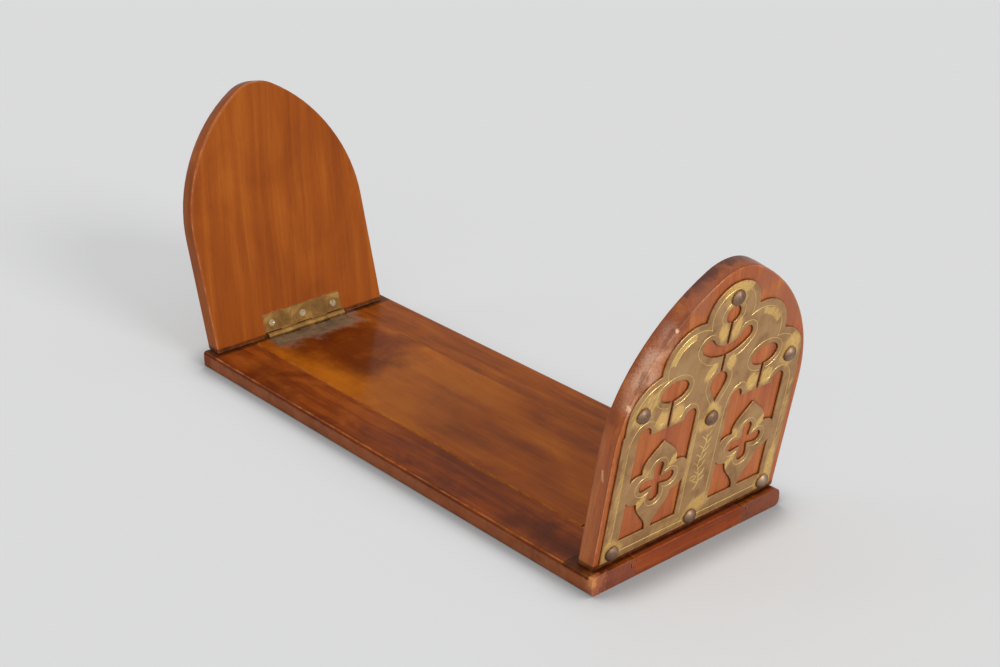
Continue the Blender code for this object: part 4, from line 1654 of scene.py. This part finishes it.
    @staticmethod
    def add_back(bm: bmesh.types.BMesh, back: np.ndarray, rims: np.ndarray, backs: Sequence[Any]) -> None:
        """Closes the back with the node's own triangles.

        Args:
            bm: The mesh.
            back: The back's triangles.
            rims: The points of all loops.
            backs: The vertex at each of those points.
        """
        for triangle in back:
            away = ((triangle[:, None, :] - rims[None]) ** 2).sum(2)
            corners = [backs[index] for index in away.argmin(1)]
            if len(set(corners)) == 3:
                bm.faces.new(corners)


@dataclass(frozen=True)
class EngravedBrass:
    """Rolled brass sheet, lacquered and browned by age, and rubbed back to gold in hatched places.

    The face is a soft metal brown with a beaten unevenness. Fine hatching glints in the golden places. The
    real strokes are well under half a millimetre apart, too fine to show, so they are drawn coarser.
    """

    name: str
    # The plate's turn about Z and its lean, in degrees.
    turn: float
    lean: float
    patina: str = "#B48A5C"
    deep: str = "#9C744A"
    pale: str = "#C09A68"
    gold: str = "#F6CC78"
    roughness: float = 0.45
    roughness_spread: Point = (-0.05, 0.12)
    metallic: float = 0.85
    blotch_size: float = 10.526 * MM
    blotch_depth: float = 0.25 * MM
    blotch_relief: float = 0.25
    # Hatching: its slant in degrees, pitch, depth, and how far one stroke runs.
    hatch_slant: float = 24.0
    hatch_pitch: float = 1.15 * MM
    hatch_depth: float = 0.06 * MM
    hatch_relief: float = 0.3
    stroke_length: float = 7 * MM
    # How raggedly the strokes end.
    feather: float = 1.1
    # Patches of gilding that are rubbed away again.
    wear_size: float = 2.381 * MM

    def build(self) -> bpy.types.Material:
        """Makes the material.

        Returns:
            The finished material.
        """
        material, tree, shader = new_material(self.name)
        place = add(tree, "TexCoord")
        tilt = (0.0, math.radians(self.lean), math.radians(self.turn))
        local = add(
            tree, "Mapping", {"Vector": place.outputs["Object"], "Rotation": tilt}, vector_type="TEXTURE",
        ).outputs[0]
        blotch = add(
            tree, "TexNoise",
            {"Vector": local, "Scale": 1 / self.blotch_size, "Detail": 6.0, "Roughness": 0.6,
             "Distortion": 0.4},
        )
        tone = add(tree, "ValToRGB", {"Fac": blotch.outputs[0]})
        set_ramp(tone, ((0.32, linear(self.deep)), (0.5, linear(self.patina)), (0.72, linear(self.pale))))
        worn = add(
            tree, "TexNoise",
            {"Vector": local, "Scale": 1 / self.wear_size, "Detail": 4.0, "Roughness": 0.7},
        ).outputs[0]
        stripe, rubbed = self.hatching(tree, local)
        # The gold lies on the strokes' ridges, thinly between them, and is patchy.
        bright = add(tree, "MapRange", {0: stripe, 1: 0.25, 2: 0.6, 3: 0.25, 4: 1.2})
        patchy = add(tree, "MapRange", {0: worn, 1: 0.3, 2: 0.6, 3: 0.6, 4: 1.15})
        amount = add(tree, "Math", {0: bright.outputs[0], 1: patchy.outputs[0]}, operation="MULTIPLY")
        gilt = add(
            tree, "Math", {0: amount.outputs[0], 1: rubbed}, operation="MULTIPLY", use_clamp=True,
        )
        coloured = add(
            tree, "Mix", {"Factor": gilt.outputs[0], 6: tone.outputs[0], 7: linear(self.gold)},
            data_type="RGBA",
        )
        smoother, duller = (self.roughness + part for part in self.roughness_spread)
        rough = add(tree, "MapRange", {0: worn, 1: NOISE_LOW, 2: NOISE_HIGH, 3: smoother, 4: duller})
        cut = add(tree, "Math", {0: stripe, 1: rubbed}, operation="MULTIPLY")
        ridges = add(
            tree, "Bump",
            {"Strength": self.hatch_relief, "Distance": self.hatch_depth, "Height": cut.outputs[0]},
        )
        beaten = add(
            tree, "Bump",
            {"Strength": self.blotch_relief, "Distance": self.blotch_depth,
             "Height": blotch.outputs[0], "Normal": ridges.outputs[0]},
        )
        tree.links.new(coloured.outputs[2], shader.inputs["Base Color"])
        tree.links.new(rough.outputs[0], shader.inputs["Roughness"])
        tree.links.new(beaten.outputs[0], shader.inputs["Normal"])
        shader.inputs["Metallic"].default_value = self.metallic
        return material

    def hatching(self, tree: bpy.types.NodeTree, local: Any) -> tuple[Any, Any]:
        """Draws the hatching and the feathered edge of the golden places that it fills.

        Args:
            tree: Node tree that takes the nodes.
            local: Socket with the plate's own coordinates in metres.

        Returns:
            The stripes' socket and the golden places' socket, each from nought to one.
        """
        turned = add(
            tree, "Mapping", {"Vector": local, "Rotation": (math.radians(self.hatch_slant), 0.0, 0.0)},
        ).outputs[0]
        # A band wave turns 20 radians in one unit of its scale.
        scale = math.tau / 20 / self.hatch_pitch
        stripe = add(
            tree, "TexWave",
            {"Vector": turned, "Scale": scale, "Distortion": 0.6, "Detail": 1.0, "Detail Scale": 0.6},
            wave_type="BANDS", bands_direction="Y",
        )
        size = (1 / self.hatch_pitch, 0.7 / self.hatch_pitch, 1 / self.stroke_length)
        along = add(tree, "VectorMath", {0: turned, 1: size}, operation="MULTIPLY")
        strokes = add(tree, "TexNoise", {"Vector": along.outputs[0], "Scale": 1.0, "Detail": 2.0})
        gilding = add(tree, "Attribute", attribute_name="gilding")
        feathered = add(
            tree, "Math", {0: strokes.outputs[0], 1: self.feather, 2: -self.feather / 2},
            operation="MULTIPLY_ADD",
        )
        reached = add(
            tree, "Math", {0: gilding.outputs["Fac"], 1: feathered.outputs[0]}, operation="ADD",
        )
        rubbed = add(tree, "MapRange", {0: reached.outputs[0], 1: 0.3, 2: 0.95, 3: 0.0, 4: 1.0})
        return stripe.outputs["Fac"], rubbed.outputs[0]


@dataclass
class Base:
    """Front and rear rails, end block and cross batten, with the screws of the batten."""

    nodes: dict[str, bpy.types.Object]
    # Planed walnut, polished and dulled by handling: warm brown with dark clouds and little gloss.
    front_rail: PolishedWalnut = PolishedWalnut(
        "french_polished_walnut_front_rail", Grain.LENGTHWISE,
        dark="#4A1C09", middle="#813A10", light="#A0531A", pore="#260E05", worn="#D88A48",
        shift=(0.31, 0.17, 0.05), cloud_share=0.55, cloud_size=24 * MM, specular=0.06, coat=0.05,
        wear_and_sheen_share=0.9, pore_strength=0.25, corner_shade_share=0.35, end_grain_share=0.15,
        patches=(
            # Two dark clouds in its top.
            Patch(
                (-0.100, -0.0615, 0.010), (20 * MM, 4.5 * MM, 2 * MM), "#4C1C08", share=0.5, fade=14 * MM,
                softness=7 * MM, bite=16.667 * MM,
            ),
            Patch(
                (0.138, -0.0600, 0.010), (24 * MM, 4.5 * MM, 2 * MM), "#4A200E", share=0.55, fade=12 * MM,
                softness=6 * MM, bite=16.667 * MM,
            ),
            PAINTED_LIGHT_SIDE, RED_ENDS, PALE_RAIL_TIP, FAR_CREASE_SHADE, NEAR_CREASE_SHADE, WORN_CORNER,
        ),
    )
    # The same wood, less handled: an even warm brown.
    rear_rail: PolishedWalnut = PolishedWalnut(
        "french_polished_walnut_rear_rail", Grain.LENGTHWISE,
        dark="#5C280A", middle="#8A4410", light="#A4581A", pore="#2C1005", worn="#C87838",
        shift=(0.77, 0.41, 0.13), cloud_share=0.45, cloud_size=30 * MM, specular=0.06, coat=0.06,
        pore_strength=0.25, patches=(RED_ENDS, FAR_CREASE_SHADE, NEAR_CREASE_SHADE),
    )
    # Block with its grain across the base, glossier and redder than the rails.
    end_block: PolishedWalnut = PolishedWalnut(
        "french_polished_walnut_end_block", Grain.CROSSWISE,
        dark="#66280F", middle="#8C3F1B", light="#A45226", pore="#2C0E06", worn="#D08A56",
        shift=(0.11, 0.63, 0.29), specular=0.15, coat=0.08, corner_shade_share=0.4, patches=(NEAR_CREASE_SHADE,),
    )
    # Turned brass screws, browned by age: dull gold heads with brighter rims.
    hardware: AgedBrass = AgedBrass(
        "aged_brass_screws", patina="#8A6D3E", bright="#C9A868", deep="#5A4426",
    )
    screw: SlottedScrew = SlottedScrew()
    slot_turn: float = 1.3

    def dress(self) -> list[str]:
        """Gives each piece of the base its finish.

        Returns:
            The names of the pieces.
        """
        block = self.end_block.build()
        finishes = {
            "front_rail": self.front_rail.build(), "rear_rail": self.rear_rail.build(),
            "end_block": block, "cross_batten": block,
        }
        done = [
            smooth_copy(self.nodes[name], "base", finish)
            for name, finish in finishes.items()
        ]
        brass = self.hardware.build()
        for index, name in enumerate(sorted(self.nodes)):
            if name.startswith("batten_screw"):
                turn = self.slot_turn * index
                done.append(self.screw.stand_in(self.nodes[name], "base", Way.DOWN, brass, turn))
        return done


@dataclass
class Slide:
    """Board that slides between the rails, and its stop strip."""

    nodes: dict[str, bpy.types.Object]
    # The widest board, polished brightest: golden brown with soft clouds and a clear gloss.
    board: PolishedWalnut = PolishedWalnut(
        "french_polished_walnut_slide_board", Grain.LENGTHWISE,
        dark="#682A06", middle="#94480A", light="#AE6014", pore="#3A1503", worn="#D08438",
        shift=(0.47, 0.09, 0.37), cloud_share=0.7, cloud_size=46 * MM, cloud_roughness=0.42,
        fibre_share=0.1, pore_strength=0.2, specular=0.03, coat=0.16, coat_roughness=0.12,
        patches=(
            # Two pale clouds, a dark cloud that is a painted reflection of the far end, and grey dust
            # beside the hinge.
            Patch(
                (-0.045, -0.002, 0.0145), (30 * MM, 22 * MM, 20 * MM), "#AC6418", share=0.35, fade=26 * MM,
                softness=14 * MM, bite=29.412 * MM,
            ),
            Patch(
                (-0.085, -0.0345, 0.0145), (44 * MM, 3.5 * MM, 20 * MM), "#BC6A16", share=0.5, fade=9 * MM,
                softness=5 * MM, bite=16.667 * MM,
            ),
            # Painted reflection of the far end, a dark cloud in the gloss beside the hinge.
            Patch(
                (-0.112, 0.006, 0.0145), (22 * MM, 14 * MM, 20 * MM), "#561E05", share=0.8, fade=24 * MM,
                softness=12 * MM, bite=29.412 * MM,
            ),
            Patch(
                (-0.1495, 0.004, 0.0145), (8 * MM, 27 * MM, 20 * MM), "#8C7460", share=0.5, fade=9 * MM,
                softness=3.5 * MM, roughness=0.7,
            ),
            FAR_CREASE_SHADE,
        ),
    )

    def dress(self) -> list[str]:
        """Gives the board and the strip their finish.

        Returns:
            The names of the pieces.
        """
        finish = self.board.build()
        return [
            smooth_copy(self.nodes[name], "slide", finish)
            for name in ("slide_board", "stop_strip")
        ]


@dataclass
class FoldingEnd:
    """Arched end with its hinge, mount and nails."""

    nodes: dict[str, bpy.types.Object]
    prefix: str
    base_body: str
    lean: float
    turn: float
    width_share: float
    board: PolishedWalnut
    plate: EngravedBrass
    # Brass where the graver cut through the lacquer: thin bright lines.
    cut: AgedBrass = AgedBrass("freshly_cut_brass", patina="#DAB86C", bright="#F0D08A", deep="#BA924C")
    # Rolled brass hinge, darkened by handling: a dull brown gold with brighter edges.
    hinge: AgedBrass = AgedBrass(
        "aged_brass_hinge", patina="#8C6636", bright="#C6A05A", deep="#70502A", roughness=0.48,
        edge_radius=0.8 * MM,
    )
    # The leaf let into the wood under the end, and dusty: brown and nearly without gloss.
    dusty: AgedBrass = AgedBrass(
        "dusty_brass_base_leaf", patina="#786046", bright="#907456", deep="#584430", roughness=0.62,
        metallic=0.5,
    )
    # Screws in the end's leaf, rubbed pale by the driver.
    pale: AgedBrass = AgedBrass(
        "worn_pale_brass_screws", patina="#B8A684", bright="#E4D8BE", deep="#7A6A50", roughness=0.42,
    )
    # Cast and hammered bronze nails: a brown skin with a soft gleam on each dome.
    bronze: AgedBrass = AgedBrass(
        "aged_bronze_nails", patina="#846854", bright="#B09880", deep="#604838", roughness=0.5,
    )
    nail: DomedNail = DomedNail()
    screw: SlottedScrew = SlottedScrew()
    end_slot_turn: float = 0.9
    base_slot_turn: float = 1.7
    knuckle_radius: float = 2.5 * MM

    def placement(self) -> Matrix:
        """Gives the end's own frame, which starts on its hinge's axis.

        Returns:
            The frame, with X out of the outer face, Y across it and Z up it.
        """
        joint = next(joint for joint in frame["joints"] if joint["child"] == self.body())
        return (
            Matrix.Translation(joint["pos_m"]) @ Matrix.Rotation(math.radians(self.turn), 4, "Z")
            @ Matrix.Rotation(math.radians(self.lean), 4, "Y")
        )

    def body(self) -> str:
        """Names the end's body."""
        return self.prefix + "_end"

    def dress(self) -> list[str]:
        """Gives each piece of the end its finish.

        Returns:
            The names of the pieces.
        """
        placement = self.placement()
        hinge, dusty, pale, bronze = (
            finish.build() for finish in (self.hinge, self.dusty, self.pale, self.bronze)
        )
        parts = {
            name[len(self.prefix) + 1:]: node for name, node in sorted(self.nodes.items())
            if name.startswith(self.prefix)
        }
        mount = EngravedMount(parts.pop("mount"), placement, self.width_share)
        done = [
            smooth_copy(parts.pop("end"), self.body(), self.board.build()),
            mount.build([self.plate.build(), self.cut.build()], self.body()).name,
        ]
        for index, (name, node) in enumerate(parts.items()):
            if name.startswith("nail"):
                done.append(self.drive(node, placement, bronze))
            elif name.startswith("end_screw"):
                turn = self.end_slot_turn * index
                done.append(self.screw.stand_in(node, self.body(), Way.IN, pale, turn, placement))
            elif name.startswith("base_screw"):
                turn = self.base_slot_turn * index
                done.append(self.screw.stand_in(node, self.base_body, Way.UP, dusty, turn))
            elif name == "base_leaf":
                done.append(self.fix_base_leaf(node, placement, hinge, dusty))
            elif name == "hinge_pin":
                done.append(smooth_copy(node, self.base_body, hinge))
            else:
                done.append(smooth_copy(node, self.body(), hinge))
        return done

    def fix_base_leaf(
        self, node: bpy.types.Object, placement: Matrix, hinge: bpy.types.Material,
        dusty: bpy.types.Material,
    ) -> str:
        """Stands a welded copy in for the base's leaf, dusty but for its knuckles.

        Args:
            node: The leaf's node.
            placement: The end's own frame, which starts on the hinge's axis.
            hinge: The knuckles' finish.
            dusty: The flat part's finish.

        Returns:
            The new piece's name.
        """
        axis = placement.translation
        name = smooth_copy(node, self.base_body, dusty)
        mesh = bpy.data.objects[name].data
        mesh.materials.append(hinge)
        for face in mesh.polygons:
            away = math.hypot(face.center.x - axis.x, face.center.z - axis.z)
            face.material_index = int(away < self.knuckle_radius)
        return name

    def drive(self, node: bpy.types.Object, placement: Matrix, bronze: bpy.types.Material) -> str:
        """Stands a domed nail in for its node.

        Args:
            node: The nail's node.
            placement: The end's own frame.
            bronze: The nail's finish.

        Returns:
            The new piece's name.
        """
        low, high = local_box(node, placement)
        seat = Vector((high.x - self.nail.height, (low.y + high.y) / 2, (low.z + high.z) / 2))
        bm = self.nail.mesh()
        bm.transform(Matrix.Translation(seat) @ Matrix.Rotation(math.pi / 2, 4, "Y"))
        name = node.name + "_hammered"
        piece = new_piece(name, bm, [bronze], self.body(), placement, self.nail.smooth_angle)
        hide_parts(node.name)
        return piece.name


def near_end(nodes: dict[str, bpy.types.Object]) -> FoldingEnd:
    """Gives the end that folds on the base, in its own finish.

    Its walnut is redder and its polish glossier than the far end's, with more wear and a browned arch, and
    a painted highlight on its front edge.

    Args:
        nodes: The frame's nodes.

    Returns:
        The end.
    """
    return FoldingEnd(
        nodes, "near", "base", lean=NEAR_LEAN, turn=0.0, width_share=1.0265,
        board=PolishedWalnut(
            "french_polished_walnut_near_end", Grain.UP_NEAR_END,
            dark="#843A18", middle="#A65624", light="#BC7034", pore="#34130A", worn="#E4A878",
            # Its rim colour, darker than the wood, paints shade on its rounded edges.
            rim="#662A12", shift=(0.21, 0.53, 0.71), unevenness=0.3, specular=0.16, coat=0.2,
            wear_and_sheen_share=0.9, wear_radius=0.7 * MM, rim_shading_share=0.4, crest_wear_and_sheen_share=0.36, cloud_share=0.4,
            pore_strength=0.3, corner_shade_reach=2.4 * MM, corner_shade_start=0.86, corner_shade_full=0.4,
            patches=(
                *DARK_BACK, *DARK_CREST, *DARK_SHOULDERS, *PAINTED_HIGHLIGHT_BLOOM, *DARK_ARRIS, *CHIPS, NEAR_CREASE_SHADE,
            ),
        ),
        plate=EngravedBrass("engraved_brass_sheet_near_mount", turn=0.0, lean=NEAR_LEAN),
    )


def far_end(nodes: dict[str, bpy.types.Object]) -> FoldingEnd:
    """Gives the end that folds on the sliding board, in its own finish.

    Its walnut is a quiet yellow brown with a low contrast, and only its arch is rubbed pale, partly as a
    painted highlight, with painted light on its edge band.

    Args:
        nodes: The frame's nodes.

    Returns:
        The end.
    """
    return FoldingEnd(
        nodes, "far", "slide", lean=FAR_LEAN, turn=180.0, width_share=0.9735,
        board=PolishedWalnut(
            "french_polished_walnut_far_end", Grain.UP_FAR_END,
            dark="#76350A", middle="#92480F", light="#AA5E17", pore="#42180A", worn="#DC9C70",
            # Its rim colour, paler and redder than the wood, paints light on its edge band.
            rim="#BC5626", shift=(0.93, 0.27, 0.19), specular=0.1, coat=0.06, cloud_share=0.4,
            cloud_size=40 * MM, fibre_share=0.14, fibre_width=1.8 * MM, pore_strength=0.14,
            contrast=0.75, wear_and_sheen_share=1.0, rim_shading_share=0.5, crest_wear_and_sheen_share=0.42, patches=(FAR_CREASE_SHADE,),
        ),
        plate=EngravedBrass("engraved_brass_sheet_far_mount", turn=180.0, lean=FAR_LEAN),
    )


@dataclass(frozen=True)
class Lamp:
    """Soft sun that faces the rest.

    Attributes:
        name: Its name.
        place: Where it shines from.
        strength: Its strength.
        spread: The angle that it fills in degrees.
    """

    name: str
    place: Place
    strength: float
    spread: float


@dataclass
class Studio:
    """Pale floor, soft lamps and the camera."""

    camera_place: Place = (0.72272, -0.60339, 0.49309)
    azimuth: float = 48.79
    elevation: float = 24.74
    lens: float = 65.2
    sensor: float = 36.0
    floor_size: float = 60.0
    floor_colour: str = "#DCDCDC"
    # How far the floor shows its own colour to the eye, whatever light falls on it.
    floor_glow: float = 0.5
    # Painted shadow, a soft dark line on the floor where the base stands: its reach, its open sky from full
    # to none, and the share of the floor's colour that is left in it.
    contact_shadow_reach: float = 32 * MM
    contact_shadow_sky: Point = (0.60, 0.97)
    contact_shadow_share: float = 0.5
    world_colour: str = "#F5F7FA"
    world_strength: float = 0.36
    # What the lamps face.
    target: Place = (0.0, 0.0, 0.05)
    # Two lamps on the right, one overhead, and a small one on the left.
    lamps: tuple[Lamp, ...] = (
        Lamp("right_key", (1.75, 0.09, 1.02), strength=1.75, spread=22.0),
        Lamp("low_fill", (1.2, -1.5, 0.34), strength=0.7, spread=60.0),
        Lamp("overhead_fill", (0.0, 0.0, 2.0), strength=0.95, spread=80.0),
        Lamp("left_light", (-0.98, -1.1, 1.37), strength=0.12, spread=14.0),
    )

    def build(self) -> None:
        """Makes the floor, the world, the lamps and the camera."""
        self.make_floor()
        self.make_world()
        for lamp in self.lamps:
            self.hang(lamp)
        self.make_camera()

    def make_floor(self) -> None:
        """Makes the plain floor that the rest stands on: matt white paper, even and without gloss."""
        half = self.floor_size / 2
        mesh = bpy.data.meshes.new("floor")
        corners = [(-half, -half, 0.0), (half, -half, 0.0), (half, half, 0.0), (-half, half, 0.0)]
        mesh.from_pydata(corners, [], [(0, 1, 2, 3)])
        floor = bpy.data.objects.new("floor", mesh)
        bpy.context.scene.collection.objects.link(floor)
        material, tree, shader = new_material("matt_white_paper_floor")
        # Painted contact shadow: the floor's colour darkens where ambient occlusion finds the base close
        # by.
        nearby = add(tree, "AmbientOcclusion", {"Distance": self.contact_shadow_reach}, samples=16)
        dark, clear = self.contact_shadow_sky
        contact = add(
            tree, "MapRange", {0: nearby.outputs["AO"], 1: dark, 2: clear, 3: self.contact_shadow_share, 4: 1.0},
            interpolation_type="SMOOTHSTEP",
        )
        colour = add(
            tree, "Mix", {"Factor": contact.outputs[0], 6: linear("#000000"), 7: linear(self.floor_colour)},
            data_type="RGBA",
        ).outputs[2]
        tree.links.new(colour, shader.inputs["Base Color"])
        shader.inputs["Roughness"].default_value = 0.9
        shader.inputs["Specular IOR Level"].default_value = 0.1
        share = add(tree, "Math", {0: self.looked_at(tree), 1: self.floor_glow}, operation="MULTIPLY")
        glow = add(tree, "Emission", {"Color": colour})
        mixed = add(tree, "MixShader", {0: share.outputs[0], 1: shader.outputs[0], 2: glow.outputs[0]})
        tree.links.new(mixed.outputs[0], tree.nodes["Material Output"].inputs["Surface"])
        mesh.materials.append(material)

    @staticmethod
    def looked_at(tree: bpy.types.NodeTree) -> bpy.types.NodeSocket:
        """Tells whether a ray shows a thing to the eye: directly, in a reflection or through glass.

        Args:
            tree: The node tree.

        Returns:
            A socket that is one for such a ray and nought for the light that falls on the rest.
        """
        path = add(tree, "LightPath")
        shown = path.outputs["Is Camera Ray"]
        for other in ("Is Glossy Ray", "Is Transmission Ray"):
            shown = add(tree, "Math", {0: shown, 1: path.outputs[other]}, operation="MAXIMUM").outputs[0]
        return shown

    def make_world(self) -> None:
        """Makes the even surrounding light, and a backdrop as pale as the floor behind it."""
        world = bpy.data.worlds.new("studio")
        bpy.context.scene.world = world
        world.use_nodes = True
        tree = world.node_tree
        light = tree.nodes["Background"]
        light.inputs["Color"].default_value = linear(self.world_colour)
        light.inputs["Strength"].default_value = self.world_strength
        backdrop = add(tree, "Background", {"Color": linear(self.floor_colour)})
        mixed = add(
            tree, "MixShader", {0: self.looked_at(tree), 1: light.outputs[0], 2: backdrop.outputs[0]},
        )
        tree.links.new(mixed.outputs[0], tree.nodes["World Output"].inputs["Surface"])

    def hang(self, lamp: Lamp) -> None:
        """Hangs one lamp, facing the rest.

        Args:
            lamp: The lamp.
        """
        data = bpy.data.lights.new(lamp.name, "SUN")
        data.energy = lamp.strength
        data.angle = math.radians(lamp.spread)
        hung = bpy.data.objects.new(lamp.name, data)
        hung.location = lamp.place
        facing = Vector(self.target) - Vector(lamp.place)
        hung.rotation_euler = facing.to_track_quat("-Z", "Y").to_euler()
        bpy.context.scene.collection.objects.link(hung)

    def make_camera(self) -> None:
        """Makes the camera at the photograph's place."""
        data = bpy.data.cameras.new("camera")
        data.lens = self.lens
        data.sensor_width = self.sensor
        data.sensor_fit = "HORIZONTAL"
        camera = bpy.data.objects.new("camera", data)
        camera.location = self.camera_place
        camera.rotation_euler = (math.radians(90 - self.elevation), 0.0, math.radians(self.azimuth))
        bpy.context.scene.collection.objects.link(camera)
        bpy.context.scene.camera = camera


def main() -> None:
    """Builds the book rest's looks and its studio."""
    logging.basicConfig(level=logging.INFO, format="%(message)s")
    bpy.context.scene.view_settings.view_transform = "Standard"
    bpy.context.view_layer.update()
    nodes = frame["nodes"]
    for part in (Base(nodes), Slide(nodes), near_end(nodes), far_end(nodes)):
        for name in part.dress():
            log.info("dressed %s", name)
    Studio().build()


if __name__ == "__main__":
    main()
